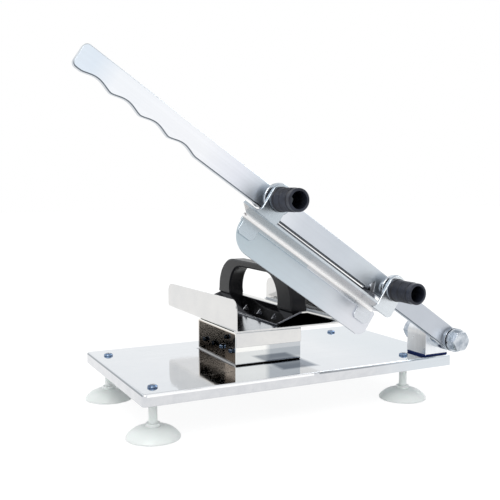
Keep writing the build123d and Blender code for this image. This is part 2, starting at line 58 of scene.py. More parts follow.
Color = Triple
Material = bpy.types.Material
Piece = bpy.types.Object
Socket = bpy.types.NodeSocket
Outputs = bpy.types.NodeOutputs


def tone(red: int, green: int, blue: int) -> Color:
    """Turns a colour as a screen shows it, 0 to 255, into the linear values that shaders take."""
    values = (v / 255.0 for v in (red, green, blue))
    return tuple(v / 12.92 if v < 0.04045 else ((v + 0.055) / 1.055) ** 2.4 for v in values)


def middle(node: str) -> Vector:
    """Returns the middle of a node's box."""
    low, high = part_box(node)
    return (low + high) / 2


def base_corner() -> Vector:
    """Returns the base's near left top corner."""
    low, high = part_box("base_plate")
    return Vector((low.x, low.y, high.z))


def pivot_place() -> Vector:
    """Returns the point where the pivot's axis passes the base's near edge."""
    bolt = middle("pivot_bolt")
    return Vector((bolt.x, base_corner().y, bolt.z))


def lever_lean() -> float:
    """Returns how steeply the line of the lever's studs rises from the pivot, in radians."""
    run = middle("blade_studs") - middle("pivot_bolt")
    return math.atan2(run.z, -run.x)


def stud_reach(label: str) -> float:
    """Returns how far the upper or lower stud lies from the pivot, to a hundredth of a millimetre."""
    run = middle(label + "_knob") - middle("pivot_bolt")
    return round(math.hypot(run.x, run.z) / MM, 2)


@dataclass(frozen=True)
class Span:
    """The box of a node, in millimetres from the base's near left top corner."""

    left: float
    near: float
    bottom: float
    right: float
    far: float
    top: float

    @classmethod
    def of(cls, node: str) -> Span:
        """Returns the span of a node."""
        low, high = ((place - base_corner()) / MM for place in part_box(node))
        return cls(*low, *high)


BASE = Span.of("base_plate")
STAND = Span.of("tray_stand")
TRAY = Span.of("tray")
PRESS = Span.of("press_plate")
GRIP = Span.of("pusher_handle")


class Axes(Enum):
    """The axes that a finish's zones are measured in.

    BENCH runs from the base's near left corner, with X along it, Y away from the user and Z up from its top.
    ARM runs from the pivot, with X along the bar towards its free end as negative, and Z square to the bar.
    """

    BENCH = "bench"
    ARM = "arm"

    def turn(self) -> Triple:
        """Returns the rotation that lays the axes' X level."""
        return (0.0, -lever_lean(), 0.0) if self is Axes.ARM else (0.0, 0.0, 0.0)

    def shift(self) -> Triple:
        """Works out the shift that puts the axes' origin at zero, after their rotation.

        For ARM, the pivot at (x, z) turns by the lean a to x cos a - z sin a and x sin a + z cos a.

        Returns:
            The shift in metres.
        """
        if self is Axes.BENCH:
            return tuple(-base_corner())
        pivot, lean = pivot_place(), lever_lean()
        cosine, sine = math.cos(lean), math.sin(lean)
        return (-(pivot.x * cosine - pivot.z * sine), -pivot.y, -(pivot.x * sine + pivot.z * cosine))


class Lay(Enum):
    """The way a piece's brushed grain runs, in its own axes."""

    ALONG_X = (0.0, 0.0, 0.0)
    ALONG_Y = (0.0, 0.0, math.pi / 2)
    UPRIGHT = (0.0, math.pi / 2, 0.0)


class Tree:
    """A node tree that is filled in one node at a time."""

    def __init__(self, tree: bpy.types.NodeTree) -> None:
        """Keeps the tree and empties it."""
        self.tree = tree
        tree.nodes.clear()

    def add(self, kind: str, sockets: dict | None = None, **settings: object) -> bpy.types.Node:
        """Adds a node, sets it up and links what its sockets are given.

        Args:
            kind: Blender's name of the node, without its "ShaderNode" start.
            sockets: Input name or number to a value or to another node's output.
            settings: Properties of the node itself.

        Returns:
            The new node.
        """
        name = kind if kind.startswith("NodeGroup") else "ShaderNode" + kind
        node = self.tree.nodes.new(name)
        for key, value in settings.items():
            setattr(node, key, value)
        for key, value in (sockets or {}).items():
            self.plug(node, key, value)
        return node

    def plug(self, node: bpy.types.Node, key: str | int, value: object) -> None:
        """Links an output to an input, or sets the input's value.

        Args:
            node: The node that has the input.
            key: The input's name or number.
            value: An output socket, a number or a colour.
        """
        socket = node.inputs[key]
        if isinstance(value, Socket):
            self.tree.links.new(value, socket)
        elif socket.type == "RGBA" and len(value) == 3:
            socket.default_value = (*value, 1.0)
        else:
            socket.default_value = value

    def math(self, operation: str, first: object, second: object, clamp: bool = False) -> Socket:
        """Adds a Math node and returns its value."""
        return self.add("Math", {0: first, 1: second}, operation=operation, use_clamp=clamp).outputs[0]

    def times(self, first: object, second: object) -> Socket:
        """Returns the product of two values."""
        return self.math("MULTIPLY", first, second)

    def plus(self, first: object, second: object, clamp: bool = False) -> Socket:
        """Returns the sum of two values."""
        return self.math("ADD", first, second, clamp)

    def vector(self, operation: str, first: object, second: object) -> bpy.types.Node:
        """Adds a Vector Math node."""
        return self.add("VectorMath", {0: first, 1: second}, operation=operation)

    def mix(self, factor: object, first: object, second: object) -> Socket:
        """Adds a colour Mix node and returns its colour."""
        return self.add("Mix", {0: factor, 6: first, 7: second}, data_type="RGBA").outputs[2]

    def spread(
        self, value: object, low: object, high: object, start: float = 0.0, end: float = 1.0
    ) -> Socket:
        """Maps a value from start..end to low..high, held at both ends."""
        return self.add("MapRange", {0: value, 1: start, 2: end, 3: low, 4: high}, clamp=True).outputs[0]

    def share(self, value: object, start: float, end: float) -> Socket:
        """Returns how far a value lies from start to end, held between 0 and 1."""
        return self.spread(value, 0.0, 1.0, start, end)

    def noise(self, vector: object, scale: object, detail: float, rough: float = 0.55) -> Socket:
        """Adds a Noise Texture and returns its value, about 0.5 in the middle."""
        sockets = {"Vector": vector, "Scale": scale, "Detail": detail, "Roughness": rough}
        return self.add("TexNoise", sockets).outputs[0]

    def use(self, group: bpy.types.NodeTree, **values: object) -> Outputs:
        """Places a shared group with values for its inputs, and returns its outputs."""
        return self.add("Group", values, node_tree=group).outputs

    def ramp(self, factor: Socket, stops: Sequence[tuple[float, Color]]) -> Socket:
        """Adds a Color Ramp.

        Args:
            factor: The value that runs along the ramp.
            stops: Places from 0 to 1 with their colours; the first and last stand at the ramp's ends.

        Returns:
            The ramp's colour.
        """
        node = self.add("ValToRGB", {0: factor})
        elements = node.color_ramp.elements
        for element, (_, color) in zip(elements, (stops[0], stops[-1])):
            element.color = (*color, 1.0)
        for place, color in stops[1:-1]:
            element = elements.new(place)
            element.color = (*color, 1.0)
        return node.outputs[0]

    def bump(self, strength: float, depth: float, height: Socket, normal: Socket) -> Socket:
        """Adds a Bump node over a normal and returns the new normal."""
        sockets = {"Strength": strength, "Distance": depth, "Height": height, "Normal": normal}
        return self.add("Bump", sockets).outputs[0]

    def end_in(self, sockets: dict) -> None:
        """Ends a material in a Principled BSDF with the given sockets."""
        shader = self.add("BsdfPrincipled", sockets)
        self.add("OutputMaterial", {0: shader.outputs[0]})


class Group(Tree):
    """A shader node group that is filled in as a tree, where given holds what its inputs bring."""

    def __init__(self, name: str, inputs: dict[str, str], outputs: dict[str, str]) -> None:
        """Makes the group with its sockets.

        Args:
            name: The group's name.
            inputs: Socket name to socket kind, such as Float or Vector.
            outputs: The same for the outputs.
        """
        super().__init__(bpy.data.node_groups.new(name, "ShaderNodeTree"))
        for sockets, side in ((inputs, "INPUT"), (outputs, "OUTPUT")):
            for label, kind in sockets.items():
                self.tree.interface.new_socket(label, in_out=side, socket_type="NodeSocket" + kind)
        self.given = self.add("NodeGroupInput").outputs
        self.end = self.add("NodeGroupOutput")

    def put_out(self, values: dict[str, Socket]) -> bpy.types.NodeTree:
        """Links the outputs by name.

        Args:
            values: Output name to the value that it puts out.

        Returns:
            The finished group.
        """
        for label, value in values.items():
            self.plug(self.end, label, value)
        return self.tree


class Effects:
    """Shader effects that several finishes share, each built once."""

    def __init__(self) -> None:
        """Builds every group."""
        self.grain = self.make_grain()
        self.blotch = self.make_blotch()
        self.edge = self.make_edge()
        self.scratch = self.make_scratch()
        self.zone = self.make_zone()

    @staticmethod
    def make_grain() -> bpy.types.NodeTree:
        """Makes brushed lines that run along X of the given vector, fine and broad ones together.

        Returns:
            The group.
        """
        stretch, broader, fine_share = 0.012, 0.12, 0.7
        inputs = {"Vector": "Vector", "Fineness": "Float"}
        group = Group("brushed_grain", inputs, {"Height": "Float", "Streak": "Float"})
        fineness = group.given["Fineness"]
        sockets = {"Vector": group.given["Vector"], "Scale": (stretch, 1.0, 1.0)}
        stretched = group.add("Mapping", sockets).outputs[0]
        fine = group.noise(stretched, fineness, 2.0)
        broad = group.noise(stretched, group.times(fineness, broader), 3.0)
        height = group.plus(group.times(fine, fine_share), group.times(broad, 1.0 - fine_share))
        return group.put_out({"Height": height, "Streak": group.share(broad, 0.3, 0.7)})

    @staticmethod
    def make_blotch() -> bpy.types.NodeTree:
        """Makes soft clouds of handling and rolling marks, with a finer mottle inside them.

        Returns:
            The group.
        """
        finer = 6.0
        inputs = {"Vector": "Vector", "Scale": "Float"}
        group = Group("blotches", inputs, {"Cloud": "Float", "Mottle": "Float"})
        vector, scale = group.given["Vector"], group.given["Scale"]
        cloud = group.noise(vector, scale, 4.0, 0.6)
        fine = group.noise(vector, group.times(scale, finer), 5.0, 0.7)
        cloud, fine = group.share(cloud, 0.35, 0.68), group.share(fine, 0.3, 0.72)
        return group.put_out({"Cloud": cloud, "Mottle": fine})

    @staticmethod
    def make_edge() -> bpy.types.NodeTree:
        """Makes rounded-looking edges: a softened normal, a mask that is 1 on the edge, and how it faces up.

        Returns:
            The group.
        """
        outputs = {"Normal": "Vector", "Mask": "Float", "Up": "Float"}
        group = Group("edges", {"Radius": "Float"}, outputs)
        soft = group.add("Bevel", {"Radius": group.given["Radius"]}, samples=4).outputs[0]
        plain = group.add("NewGeometry").outputs["Normal"]
        likeness = group.vector("DOT_PRODUCT", soft, plain).outputs["Value"]
        height = group.add("SeparateXYZ", {0: soft}).outputs[2]
        mask = group.spread(likeness, 1.0, 0.0, start=0.72, end=0.985)
        return group.put_out({"Normal": soft, "Mask": mask, "Up": group.share(height, -0.35, 0.2)})

    @staticmethod
    def make_zone() -> bpy.types.NodeTree:
        """Makes a box with soft sides: the least distance inside its faces over the softness, plus a half.

        Returns:
            The group.
        """
        inputs = {"Vector": "Vector", "Low": "Vector", "High": "Vector", "Soft": "Float"}
        group = Group("zone", inputs, {"Mask": "Float"})
        given = group.given
        after = group.vector("SUBTRACT", given["Vector"], given["Low"]).outputs[0]
        before = group.vector("SUBTRACT", given["High"], given["Vector"]).outputs[0]
        least = group.vector("MINIMUM", after, before).outputs[0]
        parts = group.add("SeparateXYZ", {0: least}).outputs
        inner = group.math("MINIMUM", group.math("MINIMUM", parts[0], parts[1]), parts[2])
        share = group.math("DIVIDE", 1.0, given["Soft"])
        return group.put_out({"Mask": group.plus(group.times(inner, share), 0.5, clamp=True)})

    @staticmethod
    def make_scratch() -> bpy.types.NodeTree:
        """Makes a few hair-thin marks in crossing directions, as wiping leaves on polished sheet.

        Returns:
            The group.
        """
        group = Group("hairlines", {"Vector": "Vector", "Scale": "Float"}, {"Mask": "Float"})
        masks = []
        for turn in (0.35, -0.6, 1.25):
            sockets = {"Vector": group.given["Vector"], "Rotation": (0.2, 0.3, turn)}
            turned = group.add("Mapping", sockets).outputs[0]
            thin = group.add("Mapping", {"Vector": turned, "Scale": (0.05, 1.0, 1.0)}).outputs[0]
            masks.append(group.share(group.noise(thin, group.given["Scale"], 2.0), 0.66, 0.72))
        return group.put_out({"Mask": group.math("MAXIMUM", group.math("MAXIMUM", *masks[:2]), masks[2])})


EFFECTS = Effects()
MARKS_SCALE = 260.0
STREAK_COLOR = (0.45, 0.45, 0.47)
STREAK_SHARE = 0.35
CLOUD_HEIGHT = 0.35
# Painted highlight that edges take unless a finish gives other colours
EDGE_HIGHLIGHT = (0.96, 0.96, 0.97)


def new_material(name: str) -> tuple[Material, Tree]:
    """Starts a material.

    Args:
        name: The material's name.

    Returns:
        The material and its empty tree.
    """
    material = bpy.data.materials.new(name)
    material.use_nodes = True
    return material, Tree(material.node_tree)


@dataclass(frozen=True)
class Zone:
    """A soft-sided box, in millimetres, inside which a finish takes another colour.

    The colour runs from color to end_color along an axis, 0 for X to 2 for Z, and mottle mixes in tint by
    the fine clouds.
    """

    low: Triple
    high: Triple
    color: Color
    end_color: Color | None = None
    axis: int = 2
    soft: float = 1.0
    share: float = 1.0
    mottle: float = 0.0
    tint: Color = (0.5, 0.5, 0.5)

    def paint(self, tree: Tree, place: Socket, parts: list[Socket], clouds: Socket, below: object) -> Socket:
        """Lays the zone over a colour.

        Args:
            tree: The material's tree.
            place: The position in the finish's axes.
            parts: The position's three numbers.
            clouds: The finish's fine clouds.
            below: The colour so far.

        Returns:
            The colour with the zone in it.
        """
        low, high = tuple(v * MM for v in self.low), tuple(v * MM for v in self.high)
        mask = tree.use(EFFECTS.zone, Vector=place, Low=low, High=high, Soft=self.soft * MM)["Mask"]
        color: object = self.color
        if self.end_color is not None:
            along = tree.share(parts[self.axis], low[self.axis], high[self.axis])
            color = tree.mix(along, self.color, self.end_color)
        if self.mottle:
            color = tree.mix(tree.times(clouds, self.mottle), color, self.tint)
        return tree.mix(tree.times(mask, self.share), below, color)


@dataclass(frozen=True)
class Steel:
    """A metal finish.

    Its colour runs through bands of painted highlight, shade and reflection, pairs of a distance and a
    colour, along the arm, where there are any. Blotches then shift it towards tint and roughen it, zones are
    laid over it, some of them painted shade, highlight and reflection, grain streaks it, and edges take a
    painted light colour where they face up and a painted dark one where they face down. With the facing
    flag set, the whole surface takes this painted light and shade.
    """

    name: str
    color: Color
    tint: Color
    roughness: float
    spread: float = 0.08
    axes: Axes = Axes.BENCH
    lay: Lay = Lay.ALONG_X
    fineness: float = 2200.0
    grain: float = 0.0
    blotch_scale: float = 18.0
    blotch: float = 0.5
    edge_radius: float = 0.45
    edge: float = 0.5
    bump: float = 0.02
    scratches: float = 0.0
    # Painted light and shade for edges that face up and edges that face down
    upper_edge_shading: Color = EDGE_HIGHLIGHT
    lower_edge_shading: Color = EDGE_HIGHLIGHT
    # Bands of painted highlight, shade and reflection along the arm
    shading_bands: tuple[tuple[float, Color], ...] = ()
    zones: tuple[Zone, ...] = ()
    shaded_by_facing: bool = False

    def run_shading_bands(self, tree: Tree, along: Socket) -> Socket:
        """Makes the colour of the bands of painted highlight, shade and reflection, which are counted from
        the pivot towards the free end.

        Args:
            tree: The material's tree.
            along: The distance along the arm, which falls towards the free end.

        Returns:
            The colour.
        """
        reach = self.shading_bands[-1][0]
        stops = [(distance / reach, color) for distance, color in self.shading_bands]
        return tree.ramp(tree.spread(along, 1.0, 0.0, start=-reach * MM, end=0.0), stops)

    def paint(self, tree: Tree, place: Socket, cloud: Outputs, streak: Socket, edge: Outputs) -> Socket:
        """Lays bands, blotches, zones, streaks and edges over each other.

        Args:
            tree: The material's tree.
            place: The position in the finish's axes.
            cloud: The blotches' outputs.
            streak: The grain's light streaks.
            edge: The edges' outputs.

        Returns:
            The colour.
        """
        # Painted highlight and shade on the edges by whether they face up or down; with the facing flag the
        # whole surface takes it
        rim = tree.mix(edge["Up"], self.lower_edge_shading, self.upper_edge_shading)
        if self.shaded_by_facing:
            return rim
        parts = list(tree.add("SeparateXYZ", {0: place}).outputs)
        color = self.run_shading_bands(tree, parts[0]) if self.shading_bands else self.color
        color = tree.mix(tree.times(cloud["Cloud"], self.blotch), color, self.tint)
        for zone in self.zones:
            color = zone.paint(tree, place, parts, cloud["Mottle"], color)
        dark = tree.times(tree.math("SUBTRACT", 1.0, streak), self.grain * STREAK_SHARE)
        color = tree.mix(dark, color, STREAK_COLOR)
        return tree.mix(tree.times(edge["Mask"], self.edge), color, rim)

    def make(self) -> Material:
        """Builds the material.

        Returns:
            The finished material.
        """
        material, tree = new_material(self.name)
        place = tree.add("TexCoord").outputs["Object"]
        sockets = {"Vector": place, "Rotation": self.axes.turn(), "Location": self.axes.shift()}
        measured = tree.add("Mapping", sockets).outputs[0]
        laid = tree.add("Mapping", {"Vector": measured, "Rotation": self.lay.value}).outputs[0]
        grain = tree.use(EFFECTS.grain, Vector=laid, Fineness=self.fineness)
        cloud = tree.use(EFFECTS.blotch, Vector=place, Scale=self.blotch_scale)
        edge = tree.use(EFFECTS.edge, Radius=self.edge_radius * MM)
        marks = tree.use(EFFECTS.scratch, Vector=place, Scale=MARKS_SCALE)["Mask"]
        rough = tree.spread(cloud["Mottle"], self.roughness, self.roughness + self.spread)
        height = tree.plus(tree.times(grain["Height"], self.grain), tree.times(cloud["Cloud"], CLOUD_HEIGHT))
        tree.end_in({
            "Base Color": self.paint(tree, measured, cloud, grain["Streak"], edge),
            "Metallic": 1.0,
            "Roughness": tree.plus(rough, tree.times(marks, self.scratches), clamp=True),
            "Normal": tree.bump(self.bump, 0.6 * MM, height, edge["Normal"]),
        })
        return material


@dataclass(frozen=True)
class Moulded:
    """A moulded plastic or rubber finish with a fine orange-peel skin and paler edges, partly wear and partly
    a painted highlight.

    With relief, the piece's own point values of that name, 0 in a groove and 1 on a crest, darken its grooves
    with painted shade.
    """

    name: str
    color: Color
    worn_and_sheen: Color
    roughness: float
    spread: float = 0.12
    skin_scale: float = 900.0
    skin: float = 0.08
    cloud_scale: float = 40.0
    cloud_share: float = 0.4
    edge_radius: float = 0.5
    edge: float = 0.35
    specular: float = 0.5
    coat: float = 0.0
    subsurface: float = 0.0
    transmission: float = 0.0
    relief: bool = False

    def make(self) -> Material:
        """Builds the material.

        Returns:
            The finished material.
        """
        material, tree = new_material(self.name)
        place = tree.add("TexCoord").outputs["Object"]
        cloud = tree.use(EFFECTS.blotch, Vector=place, Scale=self.cloud_scale)
        edge = tree.use(EFFECTS.edge, Radius=self.edge_radius * MM)
        color = tree.mix(tree.times(cloud["Cloud"], self.cloud_share), self.color, self.worn_and_sheen)
        # Paler edges: wear and a painted highlight
        color = tree.mix(tree.times(edge["Mask"], self.edge), color, self.worn_and_sheen)
        # Painted shade in the grooves and down the bore
        if self.relief:
            depth = tree.add("Attribute", attribute_name="relief").outputs["Fac"]
            color = tree.mix(tree.spread(depth, 0.75, 0.0), color, (0.0, 0.0, 0.0))
        skin = tree.noise(place, self.skin_scale, 2.0)
        tree.end_in({
            "Base Color": color,
            "Roughness": tree.spread(cloud["Mottle"], self.roughness, self.roughness + self.spread),
            "Normal": tree.bump(self.skin, 0.4 * MM, skin, edge["Normal"]),
            "Specular IOR Level": self.specular,
            "Coat Weight": self.coat,
            "Coat Roughness": 0.2,
            "Subsurface Weight": self.subsurface,
            "Subsurface Radius": (0.6, 0.7, 0.65),
            "Subsurface Scale": 4.0 * MM,
            "Transmission Weight": self.transmission,
        })
        return material


Finish = Steel | Moulded


@functools.cache
def material_of(finish: Finish) -> Material:
    """Returns a finish's material, made the first time it is asked for."""
    return finish.make()


def dress(node: str, finish: Finish) -> None:
    """Gives a CAD node a finish in every slot and reports it.

    Args:
        node: The node's name.
        finish: The finish.
    """
    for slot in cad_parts[node].material_slots:
        slot.material = material_of(finish)
    LOG.info("%s: %s", node, finish.name)


def own(piece: Piece, body: str, slot: str, *nodes: str) -> None:
    """Lets a drawn piece ride a body and stand for CAD nodes, and reports it.

    Args:
        piece: The drawn piece.
        body: The name of the body that it moves with.
        slot: Not used.
        nodes: The nodes that it stands for.
    """
    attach(piece, body)
    if nodes:
        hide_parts(*nodes)
    LOG.info("%s: drawn, rides %s", piece.name, body)


def link(name: str, mesh: bpy.types.Mesh, *materials: Material) -> Piece:
    """Makes a mesh's object at the origin.

    Args:
        name: The piece's name.
        mesh: The finished mesh.
        materials: The piece's materials, in the order of its slots.

    Returns:
        The linked object.
    """
    for material in materials:
        mesh.materials.append(material)
    mesh.update()
    piece = bpy.data.objects.new(name, mesh)
    bpy.context.scene.collection.objects.link(piece)
    return piece


def grid_faces(rows: int, columns: int, ring: bool = False) -> np.ndarray:
    """Makes the quads of a grid whose points are numbered row by row, with each row's ends joined.

    Args:
        rows: How many rows of points.
        columns: How many points in a row.
        ring: True if the last row joins the first.

    Returns:
        The corner numbers, four to a face.
    """
    row, column = np.meshgrid(np.arange(rows if ring else rows - 1), np.arange(columns), indexing="ij")
    below, after = (row + 1) % rows, (column + 1) % columns
    corners = ((row, column), (row, after), (below, after), (below, column))
    return np.stack([r * columns + c for r, c in corners], axis=-1).reshape(-1, 4)


def mesh_piece(
    name: str, points: np.ndarray, faces: np.ndarray, material: Material, smooth: bool = True
) -> Piece:
    """Makes a mesh object at the origin from arrays.

    Args:
        name: The piece's name.
        points: Places in metres, three numbers to a row.
        faces: Corner numbers, four to a row.
        material: The piece's material.
        smooth: True if its faces are shaded as one round surface.

    Returns:
        The linked object.
    """
    mesh = bpy.data.meshes.new(name)
    mesh.from_pydata(points.tolist(), [], faces.tolist())
    mesh.polygons.foreach_set("use_smooth", np.full(len(faces), smooth))
    return link(name, mesh, material)


def turned_about_y(
    profile: np.ndarray, axis: Vector, sides: int, ring: bool = False
) -> tuple[np.ndarray, np.ndarray]:
    """Turns a profile about a line along Y.

    A profile point (r, y) becomes (x + r cos t, y, z + r sin t) for every angle t, with x and z the line's.

    Args:
        profile: Rows of (radius, y) in order along the profile.
        axis: A place on the line.
        sides: How many angles.
        ring: True if the profile's last point joins its first.

    Returns:
        The points and the faces.
    """
    angle = np.linspace(0.0, 2.0 * math.pi, sides, endpoint=False)
    radius, along = profile[:, :1], profile[:, 1:]
    rows = (axis.x + radius * np.cos(angle), along + np.zeros_like(angle), axis.z + radius * np.sin(angle))
    return np.stack(rows, axis=-1).reshape(-1, 3), grid_faces(len(profile), sides, ring)


@dataclass(frozen=True)
class Plane:
    """A flat drawing plane: an origin with the directions of the drawing's two axes and of its depth."""

    origin: Triple
    right: Triple
    up: Triple
    depth: Triple = (0.0, 1.0, 0.0)

    @classmethod
    def of_bar(cls, lean: float) -> Plane:
        """Returns a plane from the pivot that leans as a bar does: right to its free end, up square to it."""
        along, across = math.cos(lean), math.sin(lean)
        return cls(tuple(pivot_place()), (-along, 0.0, across), (across, 0.0, along))

    def place(self, drawing: np.ndarray, depth: np.ndarray) -> np.ndarray:
        """Turns drawing points and depths, in millimetres, into places in metres."""
        flat = np.concatenate((drawing, depth[:, None]), axis=1) * MM
        return np.array(self.origin) + flat @ np.array((self.right, self.up, self.depth))


def arc(x: float, y: float, radius: float, start: float, end: float, steps: int) -> np.ndarray:
    """Returns points on a circle between two angles, in degrees from the first axis to the second."""
    angle = np.radians(np.linspace(start, end, steps))
    return np.stack((x + radius * np.cos(angle), y + radius * np.sin(angle)), axis=-1)


def rounded_box(width: float, length: float, corner: float, out: float, steps: int = 6) -> np.ndarray:
    """Draws a rectangle with round corners, moved outwards: a quarter circle for each corner in turn.

    Args:
        width: The rectangle's reach along the first axis, from zero.
        length: Its reach along the second axis, from zero.
        corner: The corners' radius before the rectangle is moved outwards.
        out: How far it is moved outwards.
        steps: How many points each corner has.

    Returns:
        The outline's points.
    """
    right, top = width - corner, length - corner
    middles = ((right, corner), (right, top), (corner, top), (corner, corner))
    starts = (-90.0, 0.0, 90.0, 180.0)
    return np.concatenate([
        arc(x, y, corner + out, start, start + 90.0, steps) for (x, y), start in zip(middles, starts)
    ])


@dataclass(frozen=True)
class Slab:
    """A flat piece with bevelled rims, in millimetres on its plane.

    Its outline is laid four times: drawn in by the bevel on both faces, and whole just behind each face.
    Grind draws the far face in further along the lower edge, which gives a one-sided cutting bevel.
    """

    plane: Plane
    outline: np.ndarray
    near: float
    far: float
    bevel: float
    grind: float = 0.0

    def layers(self) -> tuple[tuple[np.ndarray, float], ...]:
        """Works out the four outlines.

        Each point moves square to the line between its neighbours, to the outline's inner side.

        Returns:
            The outlines with their depths, from the near face to the far one.
        """
        outline, bevel = self.outline, self.bevel
        ahead, behind = np.roll(outline, -1, axis=0), np.roll(outline, 1, axis=0)
        run = ahead - behind
        run = run / np.maximum(np.linalg.norm(run, axis=1, keepdims=True), 1e-9)
        area = np.sum(outline[:, 0] * ahead[:, 1] - ahead[:, 0] * outline[:, 1])
        inward = np.stack((-run[:, 1], run[:, 0]), axis=-1) * (1.0 if area > 0 else -1.0)
        drawn_in = outline + inward * bevel
        ground = drawn_in + inward * self.grind * np.maximum(inward[:, 1:], 0.0)
        behind_rim = self.near + bevel * 1.5 if self.grind else self.far - bevel
        return (drawn_in, self.near), (outline, self.near + bevel), (outline, behind_rim), (ground, self.far)

    def make(
        self, name: str, face: Material, rim: Material | None = None, side: Material | None = None
    ) -> Piece:
        """Makes the piece, closed and with its faces outwards.

        Args:
            name: The piece's name.
            face: The material of both faces.
            rim: The bevels' material, where it differs.
            side: The sides' material, where it differs.

        Returns:
            The linked object.
        """
        count = len(self.outline)
        layers = self.layers()
        points = np.concatenate([self.plane.place(shape, np.full(count, depth)) for shape, depth in layers])
        faces = grid_faces(len(layers), count).tolist()
        faces.append(list(range(count))[::-1])
        faces.append(list(range(len(points) - count, len(points))))
        mesh = bpy.data.meshes.new(name)
        mesh.from_pydata(points.tolist(), [], faces)
        shape = bmesh.new()
        shape.from_mesh(mesh)
        bmesh.ops.recalc_face_normals(shape, faces=shape.faces)
        shape.to_mesh(mesh)
        shape.free()
        face_slot, rim_slot, side_slot = range(3)
        slots = np.repeat((rim_slot, side_slot, rim_slot), count)
        slots = np.concatenate((slots, (face_slot, face_slot))).astype(np.int32)
        piece = link(name, mesh, face, rim or face, side or face)
        mesh.polygons.foreach_set("material_index", slots)
        mesh.update()
        return piece


@dataclass(frozen=True)
class Lamp:
    """A square lamp that points at the object."""

    name: str
    place: Triple
    size: float
    power: float
    color: Color

    def make(self, aim: Triple) -> None:
        """Adds the lamp.

        Args:
            aim: The place that it points at.
        """
        data = bpy.data.lights.new(self.name, "AREA")
        data.size = self.size
        data.energy = self.power
        data.color = self.color
        lamp = bpy.data.objects.new(self.name, data)
        lamp.location = self.place
        lamp.rotation_euler = (Vector(aim) - lamp.location).to_track_quat("-Z", "Y").to_euler()
        bpy.context.scene.collection.objects.link(lamp)


@dataclass
class Studio:
    """Floor, world, lamps and camera."""

    floor_reach: float = 6.0
    floor_grey: Color = (0.86, 0.86, 0.86)
    floor_glow: float = 1.1
    floor_glow_share: float = 0.8
    white: Color = (1.0, 1.0, 1.0)
    room_strength: float = 1.05
    # What metal sees of the room, from straight down at 0 to straight up at 1
    room: tuple[tuple[float, Color], ...] = (
        (0.0, (0.90, 0.90, 0.90)), (0.47, (0.95, 0.97, 1.0)), (0.56, (0.99, 1.0, 1.0)),
        (0.72, (0.90, 0.92, 0.95)), (1.0, (1.0, 1.0, 1.0)),
    )
    doorway: Triple = (0.277, 0.863, 0.423)
    doorway_reach: tuple[float, float] = (8.0, 4.5)
    doorway_color: Color = (0.012, 0.012, 0.014)
    lamps: tuple[Lamp, ...] = (
        Lamp("key", (-0.9, -1.0, 1.4), 0.9, 9.0, (1.0, 0.99, 0.97)),
        Lamp("rim", (1.2, 0.6, 1.1), 0.7, 5.0, (0.92, 0.96, 1.0)),
    )
    aim: Triple = (0.0, 0.0, 0.12)
    focal_length: float = 53.34
    sensor: float = 36.0
    eye_from_corner: Triple = (-192.3, -589.9, 174.8)
    pitch_down: float = 6.46
    yaw: float = 27.3
    shift: tuple[float, float] = (-0.0204, 0.0438)

    def build(self) -> None:
        """Makes everything in the studio."""
        self.make_floor()
        self.make_world()
        for lamp in self.lamps:
            lamp.make(self.aim)
        self.make_camera()

    def make_floor(self) -> None:
        """Lays a pale plane under the object that keeps its shadow."""
        shares = ((-1.0, -1.0, 0.0), (1.0, -1.0, 0.0), (1.0, 1.0, 0.0), (-1.0, 1.0, 0.0))
        material, tree = new_material("floor_white")
        path = tree.add("LightPath").outputs
        seen = tree.math("MAXIMUM", path["Is Camera Ray"], path["Is Glossy Ray"])
        seen = tree.math("MAXIMUM", seen, path["Is Transmission Ray"])
        plain = tree.add("BsdfDiffuse", {"Color": self.floor_grey}).outputs[0]
        glow = tree.add("Emission", {"Color": self.white, "Strength": self.floor_glow}).outputs[0]
        both = tree.add("MixShader", {0: tree.times(seen, self.floor_glow_share), 1: plain, 2: glow})
        tree.add("OutputMaterial", {0: both.outputs[0]})
        floor = mesh_piece("floor", np.array(shares) * self.floor_reach, np.array([[0, 1, 2, 3]]), material)

    def make_world(self) -> None:
        """Makes an even white room.

        What metal sees of it is a little cooler at eye level, with one dark doorway.
        """
        world = bpy.data.worlds.new("room")
        bpy.context.scene.world = world
        world.use_nodes = True
        tree = Tree(world.node_tree)
        direction = tree.add("TexCoord").outputs["Generated"]
        height = tree.add("SeparateXYZ", {0: direction}).outputs[2]
        around = tree.ramp(tree.share(height, -1.0, 1.0), self.room)
        near = tree.vector("DOT_PRODUCT", direction, self.doorway).outputs["Value"]
        start, end = (math.cos(math.radians(v)) for v in self.doorway_reach)
        around = tree.mix(tree.share(near, start, end), around, self.doorway_color)
        reflected = tree.add("Background", {"Color": around, "Strength": self.room_strength}).outputs[0]
        seen = tree.add("Background", {"Color": self.white, "Strength": 1.0}).outputs[0]
        camera_ray = tree.add("LightPath").outputs["Is Camera Ray"]
        both = tree.add("MixShader", {0: camera_ray, 1: reflected, 2: seen})
        tree.add("OutputWorld", {0: both.outputs[0]})

    def make_camera(self) -> None:
        """Puts a camera at the photograph's place, measured from the base's near left top corner."""
        data = bpy.data.cameras.new("camera")
        data.sensor_width = self.sensor
        data.lens = self.focal_length
        data.shift_x, data.shift_y = self.shift
        camera = bpy.data.objects.new("camera", data)
        camera.location = base_corner() + Vector(self.eye_from_corner) * MM
        camera.rotation_euler = (math.radians(90.0 - self.pitch_down), 0.0, math.radians(-self.yaw))
        scene = bpy.context.scene
        scene.collection.objects.link(camera)
        scene.camera = camera
        scene.view_settings.view_transform = "Standard"


